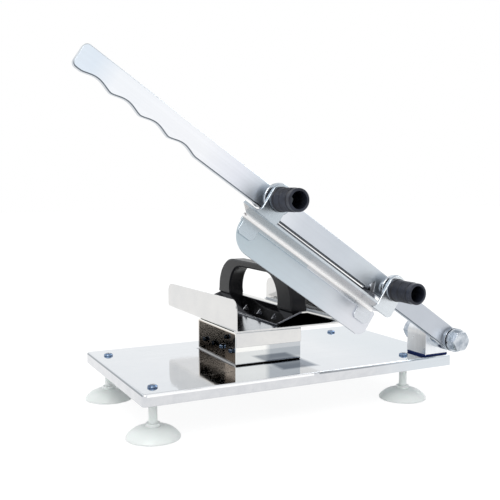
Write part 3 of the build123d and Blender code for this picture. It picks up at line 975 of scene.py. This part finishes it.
# The zones of the base, stand, tray and press plate follow their solids. Those of the carrier and the blade
# are counted from the pivot, along the arm, away from the user and square to the arm.
BASE_STEEL = Steel(
    "base_polished_steel", color=tone(227, 229, 232), tint=tone(216, 220, 224), roughness=0.04,
    spread=0.05, grain=0.25, blotch_scale=14.0, edge_radius=0.5, edge=0.7, bump=0.010, scratches=0.05,
    lower_edge_shading=tone(150, 156, 162),
    zones=(
        # The folded rim all round
        Zone((BASE.left - 2.0, BASE.near - 2.0, BASE.bottom - 1.0), (BASE.right + 2.0, BASE.far + 2.0, -1.4),
             tone(219, 220, 222), mottle=0.7, tint=tone(198, 200, 205)),
        # The near bend, with a painted highlight on its left half and painted shade on its right one
        Zone((BASE.left + 4.0, BASE.near - 2.0, -2.6), (BASE.right / 2, BASE.near + 1.4, -0.4),
             (1.0, 1.0, 1.0), soft=0.6),
        Zone((BASE.right / 2 + 6.0, BASE.near - 2.0, -2.2), (BASE.right - 2.0, BASE.near + 0.9, -0.9),
             tone(118, 124, 130), soft=0.6, share=0.8),
        # The cooler right end
        Zone((BASE.right - 78.0, BASE.near - 40.0, -40.0), (BASE.right + 80.0, BASE.far + 40.0, 40.0),
             tone(212, 218, 223), soft=60.0),
        # The shade inside the stand
        Zone((STAND.left - 3.0, STAND.near + 1.0, -1.0), (STAND.right + 2.0, STAND.far, 1.0),
             tone(112, 112, 118), soft=1.5),
        # The left, far and right bends, with painted shade along them
        Zone((BASE.left - 1.0, BASE.near - 1.0, -1.9), (BASE.left + 0.7, BASE.far + 1.0, 0.3),
             tone(118, 126, 132), soft=0.6, share=0.85),
        Zone((BASE.left - 1.0, BASE.far - 1.1, -1.9), (BASE.right + 1.0, BASE.far + 1.0, 0.3),
             tone(120, 128, 134), soft=0.6, share=0.85),
        Zone((BASE.right - 1.1, BASE.near - 1.0, -1.9), (BASE.right + 1.0, BASE.far + 1.0, 0.3),
             tone(130, 138, 144), soft=0.6, share=0.85),
        # The blue reflection before the stand
        Zone((STAND.left + 35.0, STAND.near - 33.0, -4.0), (STAND.right + 1.0, STAND.near, 4.0),
             tone(76, 92, 112), soft=6.0),
    ),
)
STAND_STEEL = Steel(
    "stand_mirror_steel", color=tone(246, 246, 243), tint=tone(236, 235, 230), roughness=0.03,
    spread=0.04, grain=0.15, blotch_scale=22.0, edge_radius=0.4, edge=0.6, bump=0.005, scratches=0.04,
    zones=(
        # The dark left side and inside: painted shade and reflection, which pale upwards
        Zone(
            (STAND.left - 15.0, STAND.near + 2.2, STAND.bottom + 1.0),
            (STAND.right + 12.0, STAND.far + 1.0, STAND.top - 1.0),
            tone(26, 22, 20), (0.70, 0.62, 0.54), soft=0.6, mottle=0.3, tint=tone(90, 84, 78),
        ),
        # The blue reflection at the near side's right end
        Zone(
            (STAND.left + 37.0, STAND.near - 7.0, STAND.bottom + 4.0),
            (STAND.right + 8.0, STAND.near + 1.4, STAND.top + 1.0),
            tone(140, 150, 162), soft=10.0, share=0.95,
        ),
        # The painted contact shadow where the stand meets the base
        Zone(
            (STAND.left - 15.0, STAND.near - 7.0, STAND.bottom - 1.0),
            (STAND.right + 12.0, STAND.near + 1.8, STAND.bottom + 1.4),
            tone(30, 28, 28), soft=0.6,
        ),
    ),
)
TRAY_STEEL = Steel(
    "tray_polished_steel", color=tone(222, 221, 219), tint=tone(210, 210, 210), roughness=0.08,
    spread=0.09, lay=Lay.ALONG_Y, grain=0.2, blotch_scale=26.0, blotch=0.7, edge_radius=0.4, edge=0.6,
    bump=0.010, scratches=0.07, lower_edge_shading=tone(150, 148, 146),
    zones=(
        # The tray's floor, darkened with painted shade and reflection
        Zone(
            (TRAY.left + 2.0, TRAY.near + 2.5, STAND.top + 0.6),
            (TRAY.right, TRAY.far + 3.0, STAND.top + 2.4),
            tone(152, 158, 164),
        ),
    ),
)
PRESS_STEEL = Steel(
    "press_mirror_steel", color=tone(214, 213, 210), tint=tone(196, 194, 192), roughness=0.04,
    spread=0.05, lay=Lay.ALONG_Y, grain=0.15, blotch_scale=30.0, edge_radius=0.35, edge=0.9,
    bump=0.006, scratches=0.05,
    zones=(
        # The left slope, with a painted reflection of the grip
        Zone(
            (PRESS.left - 15.0, PRESS.near - 8.0, PRESS.bottom - 0.8),
            (GRIP.left + 7.0, PRESS.far + 2.0, PRESS.top + 13.5),
            tone(84, 86, 94),
        ),
    ),
)
ARM_STEEL = Steel(
    "arm_satin_steel", color=(0.83, 0.85, 0.89), tint=(0.80, 0.84, 0.90), roughness=0.32, axes=Axes.ARM,
    fineness=3000.0, grain=0.3, blotch_scale=9.0, blotch=0.25, edge_radius=0.55, edge=0.8,
    scratches=0.02, upper_edge_shading=tone(168, 174, 180), lower_edge_shading=tone(96, 104, 112),
    # Painted highlight, shade and reflection along the arm, darker by the upper ear where its knob is
    # mirrored
    shading_bands=(
        (0.0, (0.44, 0.47, 0.52)), (90.0, (0.52, 0.55, 0.60)), (125.0, (0.66, 0.71, 0.75)),
        (160.0, (0.56, 0.60, 0.65)), (215.0, (0.60, 0.63, 0.68)), (240.0, (0.80, 0.82, 0.86)),
        (262.0, (0.66, 0.72, 0.78)), (292.0, (0.82, 0.83, 0.89)), (330.0, (0.95, 0.95, 0.97)),
        (418.0, (0.95, 0.96, 0.98)), (438.0, (0.76, 0.83, 0.91)), (462.0, (0.78, 0.85, 0.92)),
    ),
)
# Painted light on the rim's upper side and painted shade on its lower side
RIM_STEEL = Steel(
    "arm_rim_steel", color=tone(150, 156, 162), tint=tone(150, 156, 162), roughness=0.30, axes=Axes.ARM,
    upper_edge_shading=tone(190, 195, 200), lower_edge_shading=tone(104, 112, 120), shaded_by_facing=True,
)
SIDE_STEEL = Steel(
    "arm_side_steel", color=tone(210, 214, 219), tint=tone(196, 201, 207), roughness=0.26, axes=Axes.ARM,
    fineness=3000.0, grain=0.3, blotch_scale=30.0, edge=0.0,
)
PLATE_STEEL = Steel(
    "plate_satin_steel", color=(0.6, 0.65, 0.7), tint=(0.54, 0.60, 0.66), roughness=0.30, axes=Axes.ARM,
    fineness=2600.0, grain=0.3, blotch_scale=16.0, blotch=0.35, edge=0.7, bump=0.025, scratches=0.02,
    lower_edge_shading=tone(200, 208, 214),
    # Painted reflection, bluer and darker towards the upper end
    shading_bands=(
        (0.0, (0.75, 0.76, 0.80)), (105.0, (0.74, 0.75, 0.79)), (170.0, (0.58, 0.64, 0.69)),
        (262.0, (0.47, 0.555, 0.60)),
    ),
)
CARRIER_STEEL = Steel(
    "carrier_satin_steel", color=tone(214, 212, 211), tint=tone(186, 181, 178), roughness=0.22,
    spread=0.10, axes=Axes.ARM, fineness=2400.0, grain=0.5, blotch_scale=20.0, blotch=0.7,
    edge_radius=0.5, edge=0.9, bump=0.03, scratches=0.03, lower_edge_shading=tone(206, 212, 216),
    zones=(
        # The flange with its tabs, cooler at its upper end, and a painted highlight along the bend over it
        Zone((-300.0, -20.0, -60.0), (-180.0, 80.0, -24.5), (0.50, 0.57, 0.62)),
        Zone((-180.0, -20.0, -60.0), (0.0, 80.0, -24.5), (0.66, 0.69, 0.73)),
        Zone((-300.0, -20.0, -24.2), (0.0, 80.0, -22.0), (1.0, 1.0, 1.0), soft=0.6),
        # Both ears, from the upper one to the paler lower one
        Zone((-300.0, -80.0, -30.0), (0.0, -30.5, 40.0), tone(178, 189, 197), tone(236, 240, 243),
             axis=0, soft=0.6),
    ),
)
BLADE_STEEL = Steel(
    "blade_ground_steel", color=tone(206, 208, 212), tint=tone(190, 193, 198), roughness=0.20,
    axes=Axes.ARM, fineness=3000.0, grain=0.8, blotch_scale=20.0, edge_radius=0.3, edge=0.6, bump=0.05,
    scratches=0.05,
    # The shaded strip behind the gap between the lever and the carrier
    zones=(Zone((-246.0, 0.0, -20.0), (-94.0, 3.3, -6.0), tone(40, 40, 44)),),
)
BRACKET_STEEL = Steel(
    "bracket_ground_steel", color=tone(248, 250, 252), tint=tone(222, 226, 231), roughness=0.26,
    spread=0.10, lay=Lay.UPRIGHT, grain=0.5, blotch_scale=35.0, blotch=0.6, edge_radius=0.7, edge=0.7,
    bump=0.04, scratches=0.04, lower_edge_shading=tone(170, 174, 180),
)
BOLT_STEEL = Steel(
    "bolt_bright_steel", color=tone(212, 218, 224), tint=tone(132, 142, 154), roughness=0.10,
    grain=0.1, blotch_scale=110.0, blotch=0.8, edge_radius=0.5, edge=1.0, scratches=0.05,
    lower_edge_shading=tone(46, 52, 60),
)
SPRING_STEEL = Steel(
    "spring_dark_steel", color=(0.10, 0.105, 0.115), tint=(0.06, 0.065, 0.075), roughness=0.25,
    spread=0.10, grain=0.1, blotch_scale=80.0, edge_radius=0.2, edge=0.3, upper_edge_shading=(0.5, 0.5, 0.52),
    lower_edge_shading=(0.05, 0.05, 0.06),
)
ZINC = Steel(
    "screw_blue_zinc", color=(0.22, 0.34, 0.52), tint=(0.02, 0.04, 0.10), roughness=0.12, spread=0.10,
    grain=0.1, blotch_scale=420.0, blotch=1.0, edge_radius=0.8, edge=1.0, scratches=0.05,
    lower_edge_shading=(0.03, 0.04, 0.08),
)
GRIP_PLASTIC = Moulded(
    "grip_black_plastic", color=(0.002, 0.002, 0.003), worn_and_sheen=(0.008, 0.008, 0.011), roughness=0.26,
    skin=0.10, edge=0.6, specular=0.22,
)
KNOB_PLASTIC = Moulded(
    "knob_black_plastic", color=(0.012, 0.014, 0.022), worn_and_sheen=(0.050, 0.060, 0.092), roughness=0.26,
    spread=0.10, skin_scale=1400.0, skin=0.06, cloud_scale=60.0, edge_radius=0.25, edge=0.6,
    specular=0.30, relief=True,
)
NAVY_RUBBER = Moulded(
    "gasket_navy_rubber", color=(0.002, 0.012, 0.085), worn_and_sheen=(0.008, 0.024, 0.120), roughness=0.55,
    spread=0.15, skin_scale=1400.0, skin=0.10, cloud_scale=60.0, edge_radius=0.2, specular=0.2,
)
MILKY_RUBBER = Moulded(
    "cup_milky_rubber", color=(0.80, 0.84, 0.82), worn_and_sheen=(0.86, 0.89, 0.88), roughness=0.30,
    skin_scale=500.0, skin=0.05, cloud_scale=50.0, edge_radius=0.4, edge=0.4, coat=0.2, subsurface=0.35,
    transmission=0.12,
)


class SubAssembly:
    """Nodes that are dressed together, and the pieces that are drawn over them.

    The sizes of drawn pieces are in millimetres, and their angles in degrees.
    """

    finishes: ClassVar[dict[str, Finish]] = {}

    def draw(self) -> None:
        """Draws the pieces that stand for solids, where there are any."""

    def build(self) -> None:
        """Dresses the nodes and draws the pieces."""
        for node, finish in self.finishes.items():
            dress(node, finish)
        self.draw()


@dataclass
class Base(SubAssembly):
    """The folded base with its feet, bracket and pivot, and the bead that the gasket swells into."""

    finishes: ClassVar[dict[str, Finish]] = {
        "base_plate": BASE_STEEL,
        "foot_screws": ZINC,
        "bracket_gasket": NAVY_RUBBER,
        "pivot_bracket": BRACKET_STEEL,
        "bracket_screws": ZINC,
        "pivot_bolt": BOLT_STEEL,
        "pivot_washers": BOLT_STEEL,
        "pivot_lock_washers": SPRING_STEEL,
        "pivot_spacer": BOLT_STEEL,
        "pivot_nut": BOLT_STEEL,
        **{f"foot_{side}_{end}": MILKY_RUBBER for side in ("near", "far") for end in ("left", "right")},
    }
    bead_height: float = 2.2
    bead_out: float = 0.5
    bead_corner: float = 1.5
    bead_bevel: float = 0.5

    def draw(self) -> None:
        """Lays the gasket's bead round the bracket's foot."""
        low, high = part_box("bracket_gasket")
        plane = Plane(tuple(low), (1.0, 0.0, 0.0), (0.0, 1.0, 0.0), (0.0, 0.0, 1.0))
        size = (high - low) / MM
        outline = rounded_box(size.x, size.y, self.bead_corner, self.bead_out)
        bead = Slab(plane, outline, 0.0, self.bead_height, self.bead_bevel)
        own(bead.make("gasket_bead", material_of(NAVY_RUBBER)), "base", "gasket", "bracket_gasket")


class TrayUnit(SubAssembly):
    """The stand with the tray on it."""

    finishes: ClassVar[dict[str, Finish]] = {
        "tray_stand": STAND_STEEL,
        "stand_screws": ZINC,
        "stand_nuts": ZINC,
        "tray": TRAY_STEEL,
    }


@dataclass
class Pusher(SubAssembly):
    """The toothed press plate and its arched grip, which stands on its solid's feet."""

    finishes: ClassVar[dict[str, Finish]] = {
        "press_plate": PRESS_STEEL,
        "pusher_handle": GRIP_PLASTIC,
        "handle_screws": ZINC,
    }
    leg: float = 31.5
    bar: float = 7.5
    round_outside: float = 38.0
    round_inside: float = 30.0
    drop: float = 4.0
    bevel: float = 1.6

    def outline(self, length: float, height: float) -> np.ndarray:
        """Draws the grip's side: each shoulder is a quarter circle outside and a smaller one inside.

        Args:
            length: How long the grip is.
            height: How high it is.

        Returns:
            The outline's points, as a distance from the near end and a height.
        """
        outside, inside = self.round_outside, self.round_inside
        crown, leg, far_leg = height - self.bar, self.leg, length - self.leg
        return np.concatenate((
            [(0.0, 0.0)],
            arc(outside, height - outside, outside, 180.0, 90.0, 24),
            arc(length - outside, height - outside, outside, 90.0, 0.0, 24),
            [(length, 0.0), (far_leg, 0.0)],
            arc(far_leg - inside, crown - inside, inside, 0.0, 90.0, 20),
            arc(leg + inside, crown - inside, inside, 90.0, 180.0, 20),
            [(leg, 0.0)],
        ))

    def draw(self) -> None:
        """Draws the grip."""
        low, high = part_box("pusher_handle")
        size = (high - low) / MM
        plane = Plane(tuple(low), (0.0, 1.0, 0.0), (0.0, 0.0, 1.0), (1.0, 0.0, 0.0))
        grip = Slab(plane, self.outline(size.y, size.z - self.drop), 0.0, size.x, self.bevel)
        own(grip.make("arched_grip", material_of(GRIP_PLASTIC)), "pusher", "black_plastic", "pusher_handle")


@dataclass
class Arm(SubAssembly):
    """The lever bar, with the blade behind it."""

    finishes: ClassVar[dict[str, Finish]] = {
        "cutting_arm": ARM_STEEL,
        "blade": BLADE_STEEL,
        "blade_sleeves": BOLT_STEEL,
        "blade_studs": BOLT_STEEL,
        "arm_spring_washers": BOLT_STEEL,
        "upper_spring": SPRING_STEEL,
        "lower_spring": SPRING_STEEL,
    }
    tilt: float = 34.33
    reach: float = 452.6
    half_width: float = 10.6
    drop: float = 0.45
    corner: float = 4.5
    near: float = -20.0
    far: float = -14.0
    bevel: float = 0.8
    first_tip: float = 332.0
    pitch: float = 28.1
    last_tip: float = 444.5
    grip_depth: float = 3.3
    grip_step: float = 1.0
    notch: Triple = (124.6, 117.3, 113.3)
    notch_depth: float = 9.6
    blade_ends: tuple[float, float] = (92.0, 251.0)
    blade_depths: tuple[float, float] = (8.0, 50.0)
    blade_round: float = 22.0
    blade_corner: float = 3.0
    blade_ear: float = 9.0
    blade_faces: tuple[float, float] = (3.0, 5.5)
    blade_bevel: float = 0.1
    blade_grind: float = 7.0

    def blade_outline(self) -> np.ndarray:
        """Draws the blade: a strip with a round ear on each stud and a large round at its upper corner.

        Returns:
            The outline's points, as a distance from the pivot and a height over the studs' line.
        """
        low, high = self.blade_ends
        top, edge = (-depth for depth in self.blade_depths)
        corner, large, ear = self.blade_corner, self.blade_round, self.blade_ear
        lower, upper = stud_reach("lower"), stud_reach("upper")
        return np.concatenate((
            [(lower - ear, top)],
            arc(lower, 0.0, ear, 180.0, 0.0, 20),
            [(lower + ear, top), (upper - ear, top)],
            arc(upper, 0.0, ear, 180.0, 0.0, 20),
            arc(high - corner, top - corner, corner, 90.0, 0.0, 6),
            arc(high - large, edge + large, large, 0.0, -90.0, 16),
            [(low, edge), (low, top)],
        ))

    def bar_outline(self) -> np.ndarray:
        """Draws the bar.

        The grip's lower edge rises between two tips by the depth times the sine of pi u, to the power 1.5,
        where u runs from 0 to 1 from tip to tip.

        Returns:
            The outline's points, as a distance from the pivot and a height over its line.
        """
        upper, lower = self.half_width - self.drop, -self.half_width - self.drop
        end, corner, step = self.reach - self.corner, self.corner, self.grip_step
        along = np.arange(end - step, self.first_tip - 2.0 * step, -step)
        rise = self.grip_depth * np.abs(np.sin(math.pi * (along - self.first_tip) / self.pitch)) ** 1.5
        rise = np.where((along > self.last_tip) | (along < self.first_tip), 0.0, rise)
        start, deepest, back = self.notch
        return np.concatenate((
            arc(0.0, -self.drop, self.half_width, -90.0, -270.0, 40),
            arc(end, upper - corner, corner, 90.0, 0.0, 8),
            arc(end, lower + corner, corner, 0.0, -90.0, 8),
            np.stack((along, lower + rise), axis=-1),
            [(start, lower), (deepest, lower + self.notch_depth), (back, lower)],
        ))

    def draw(self) -> None:
        """Draws the bar, and the blade on the studs' line."""
        plane = Plane.of_bar(math.radians(self.tilt))
        bar = Slab(plane, self.bar_outline(), self.near, self.far, self.bevel)
        face, rim, side = (material_of(f) for f in (ARM_STEEL, RIM_STEEL, SIDE_STEEL))
        own(bar.make("lever_bar", face, rim, side), "arm", "satin_steel", "cutting_arm")
        plane, (near, far) = Plane.of_bar(lever_lean()), self.blade_faces
        blade = Slab(plane, self.blade_outline(), near, far, self.blade_bevel, self.blade_grind)
        own(blade.make("ground_blade", material_of(BLADE_STEEL)), "arm", "blade_steel", "blade")


@dataclass
class Gauge(SubAssembly):
    """The thickness plate on its folded carrier, which has two ears, a sloping web and a tabbed flange."""

    finishes: ClassVar[dict[str, Finish]] = {
        "plate_carrier": CARRIER_STEEL,
        "thickness_plate": PLATE_STEEL,
        "ear_spring_washers": BOLT_STEEL,
        "knob_washers": BOLT_STEEL,
    }
    sheet: float = 2.0
    bevel: float = 0.3
    ear_near: float = -33.0
    ear_width: float = 20.4
    ear_top: float = 13.5
    ear_feet: tuple[float, float] = (-21.0, -26.5)
    ear_corner: float = 5.0
    ear_fillet: float = 7.0
    tab_places: tuple[float, float] = (250.3, 100.4)
    tab_half: float = 9.2
    tab_drop: float = 38.5
    tab_corner: float = 3.0
    web_ends: Triple = (92.5, 280.6, 258.0)
    web_drops: tuple[float, float] = (20.0, 21.3)
    web_setback: float = 0.35
    flange_far: float = -2.0
    flange_drop: float = 27.5
    flange_past_web: float = 4.0
    ring_radius: float = 14.2
    ring_bore: float = 7.4
    ring_thickness: float = 2.0
    ring_bevel: float = 0.4
    ring_sides: int = 72

    def ear_outline(self, place: float, foot: float) -> np.ndarray:
        """Draws an ear: a round top, a round lower corner and a hollow round into the web.

        Args:
            place: Its middle's distance from the pivot.
            foot: Its foot's height over the studs' line.

        Returns:
            The outline's points.
        """
        half, corner, fillet = self.ear_width / 2, self.ear_corner, self.ear_fillet
        return np.concatenate((
            arc(place, self.ear_top - half, half, 0.0, 180.0, 24),
            arc(place - half + corner, foot + corner, corner, 180.0, 270.0, 10),
            arc(place + half + fillet, foot + fillet, fillet, 270.0, 180.0, 12),
        ))

    def flange_outline(self) -> np.ndarray:
        """Draws the flange, whose lower edge has a tab with cut corners at each tab place.

        Returns:
            The outline's points.
        """
        low_end, _, far_end = self.web_ends
        top, bottom, drop = self.sheet / 2 - self.web_drops[1], -self.flange_drop, -self.tab_drop
        cut = self.tab_corner
        points = [(low_end, top), (low_end, bottom)]
        for place in reversed(self.tab_places):
            left, right = place - self.tab_half, place + self.tab_half
            points += [(left, bottom), (left, drop + cut), (left + cut, drop)]
            points += [(right - cut, drop), (right, drop + cut), (right, bottom)]
        end = far_end + self.flange_past_web
        return np.array(points + [(end, bottom), (end, top)])

    def make_web(self, plane: Plane, material: Material) -> Piece:
        """Makes the sloping web, whose upper end is cut on the skew, as a closed sheet of six faces.

        Args:
            plane: The carrier's plane.
            material: The web's material.

        Returns:
            The web.
        """
        near, far = self.ear_near + self.web_setback, self.flange_far - self.sheet / 2
        low_end, near_end, far_end = self.web_ends
        near_drop, far_drop = self.web_drops
        corners = np.array([
            (low_end, near, near_drop), (near_end, near, near_drop),
            (far_end, far, far_drop), (low_end, far, far_drop),
        ])
        along, depth, drop = np.concatenate((corners, corners)).T
        lift = np.repeat((-self.sheet / 2, self.sheet / 2), len(corners))
        drawing = np.stack((along, lift - drop), axis=-1)
        faces = np.array([(0, 1, 2, 3), (7, 6, 5, 4), (0, 4, 5, 1), (1, 5, 6, 2), (2, 6, 7, 3), (3, 7, 4, 0)])
        return mesh_piece("carrier_web", plane.place(drawing, depth), faces, material, smooth=False)

    def make_ring(self, label: str) -> Piece:
        """Turns the broad ring that an ear's spring bears on, about its knob's middle line.

        Args:
            label: The ear's name, upper or lower.

        Returns:
            The ring.
        """
        near = base_corner().y + (self.ear_near + self.sheet) * MM
        far = near + self.ring_thickness * MM
        outer, bore, bevel = self.ring_radius * MM, self.ring_bore * MM, self.ring_bevel * MM
        profile = np.array([
            (bore, far), (outer - bevel, far), (outer, far - bevel), (outer, near + bevel),
            (outer - bevel, near), (bore, near),
        ])
        points, faces = turned_about_y(profile, middle(label + "_knob"), self.ring_sides, ring=True)
        return mesh_piece(label + "_ear_ring", points, faces, material_of(BOLT_STEEL), smooth=False)

    def draw(self) -> None:
        """Draws the carrier's ears, flange and web, and the ears' rings."""
        plane, material = Plane.of_bar(lever_lean()), material_of(CARRIER_STEEL)
        labels = ("upper", "lower")
        pieces = []
        for label, foot in zip(labels, self.ear_feet):
            outline = self.ear_outline(stud_reach(label), foot)
            ear = Slab(plane, outline, self.ear_near, self.ear_near + self.sheet, self.bevel)
            pieces.append(ear.make(label + "_ear", material))
        near, far = self.flange_far - self.sheet, self.flange_far
        flange = Slab(plane, self.flange_outline(), near, far, self.bevel)
        pieces.append(flange.make("carrier_flange", material))
        pieces.append(self.make_web(plane, material))
        own(pieces[0], "gauge", "satin_steel", "plate_carrier")
        for piece in pieces[1:]:
            own(piece, "gauge", "satin_steel")
        rings = [self.make_ring(label) for label in labels]
        own(rings[0], "gauge", "bolt_chrome", "ear_spring_washers")
        own(rings[1], "gauge", "bolt_chrome")


@dataclass
class Knob(SubAssembly):
    """A hollow ringed knob, drawn finer than its solid and in the same place."""

    node: str
    sides: int = 96
    step: float = 0.15
    collar_radius: float = 10.9
    barrel_radius: float = 10.2
    end_radius: float = 9.9
    bore_radius: float = 7.5
    bore_end: float = 23.0
    bore_rim: float = 0.5
    bore_rim_shares: tuple[tuple[float, float], ...] = ((1.0, 0.0), (0.3, 0.24), (0.0, 0.9))
    # Painted shade in the bore: none at its mouth, full inside
    bore_relief: tuple[float, ...] = (1.0, 1.0, 1.0, 0.6, 0.0, 0.0, 0.0, 0.0)
    face_inset: float = 0.2
    waist_shares: Triple = (0.115, 0.44, 0.80)
    waist_half_share: float = 0.028
    waist_depth: float = 0.9
    ridge_margin_share: float = 0.03
    ridge_pitch: float = 1.7
    ridge_depth: float = 0.38
    corner: float = 0.9

    def skin(self, length: float) -> tuple[np.ndarray, np.ndarray]:
        """Works out the outside of the knob.

        The radius is its plain radius less half a cosine wave for each ridge, less a sine bump for each
        of the three waists, and less a quarter circle at both ends.

        Args:
            length: The knob's length in millimetres.

        Returns:
            Rows of (radius, distance from the near end) from the far end to the near one, and the relief
            of each row.
        """
        collar_end, _, barrel_end = self.waist_shares
        along = np.arange(self.step, length - self.step + 1e-9, self.step)
        share = 1.0 - along / length
        radius = np.where(share < collar_end, self.collar_radius, self.barrel_radius)
        radius = np.where(share > barrel_end, self.end_radius, radius)
        margin = self.ridge_margin_share
        ridged = (share > collar_end + margin) & (share < barrel_end - margin)
        wave = 0.5 - 0.5 * np.cos(2.0 * math.pi * along / self.ridge_pitch)
        dip = np.where(ridged, self.ridge_depth * (1.0 - wave), 0.0)
        for waist in self.waist_shares:
            reach = np.clip(1.0 - np.abs(share - waist) / self.waist_half_share, 0.0, 1.0)
            dip = np.maximum(dip, self.waist_depth * np.sin(reach * math.pi / 2))
        for end in (0.0, length):
            inside = np.clip(self.corner - np.abs(along - end), 0.0, self.corner)
            dip = dip + self.corner - np.sqrt(self.corner ** 2 - inside ** 2)
        relief = np.clip(1.0 - dip / self.waist_depth, 0.0, 1.0)
        return np.stack((radius - dip, along), axis=-1)[::-1], relief[::-1]

    def outline(self, length: float) -> tuple[np.ndarray, np.ndarray]:
        """Draws the half section, from the middle of the far face out and back to the bore's floor.

        Args:
            length: The knob's length in millimetres.

        Returns:
            Rows of (radius, distance from the near end) in millimetres, and the relief of each row.
        """
        skin, relief = self.skin(length)
        far_radius, near_radius = skin[0, 0], skin[-1, 0]
        bore, floor, rim = self.bore_radius, self.bore_end, self.bore_rim
        far_face = [(0.0, length), (far_radius / 2, length), (far_radius - self.step, length)]
        mouth = [(near_radius - self.face_inset, 0.0)]
        mouth += [(bore + rim * out, rim * deep) for out, deep in self.bore_rim_shares]
        inside = [(bore, floor / 2), (bore, floor), (bore / 2, floor), (0.0, floor)]
        shades = np.concatenate((np.ones(len(far_face)), relief, self.bore_relief))
        return np.concatenate((far_face, skin, mouth, inside)), shades

    def draw(self) -> None:
        """Turns the knob about its solid's middle line and lets it ride and turn as the solid does."""
        low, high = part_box(self.node)
        outline, shades = self.outline((high.y - low.y) / MM)
        profile = outline * MM + np.array((0.0, low.y))
        points, faces = turned_about_y(profile, middle(self.node), self.sides)
        piece = mesh_piece(self.node + "_turned", points, faces, material_of(KNOB_PLASTIC))
        relief = piece.data.attributes.new("relief", "FLOAT", "POINT")
        relief.data.foreach_set("value", np.repeat(shades, self.sides).astype(np.float32))
        own(piece, self.node, "black_plastic", self.node)


def main() -> None:
    """Builds the studio and every sub-assembly in order."""
    logging.basicConfig(level=logging.INFO, format="%(message)s")
    Studio().build()
    for part in (Base(), TrayUnit(), Pusher(), Arm(), Gauge(), Knob("upper_knob"), Knob("lower_knob")):
        part.build()


if __name__ == "__main__":
    main()
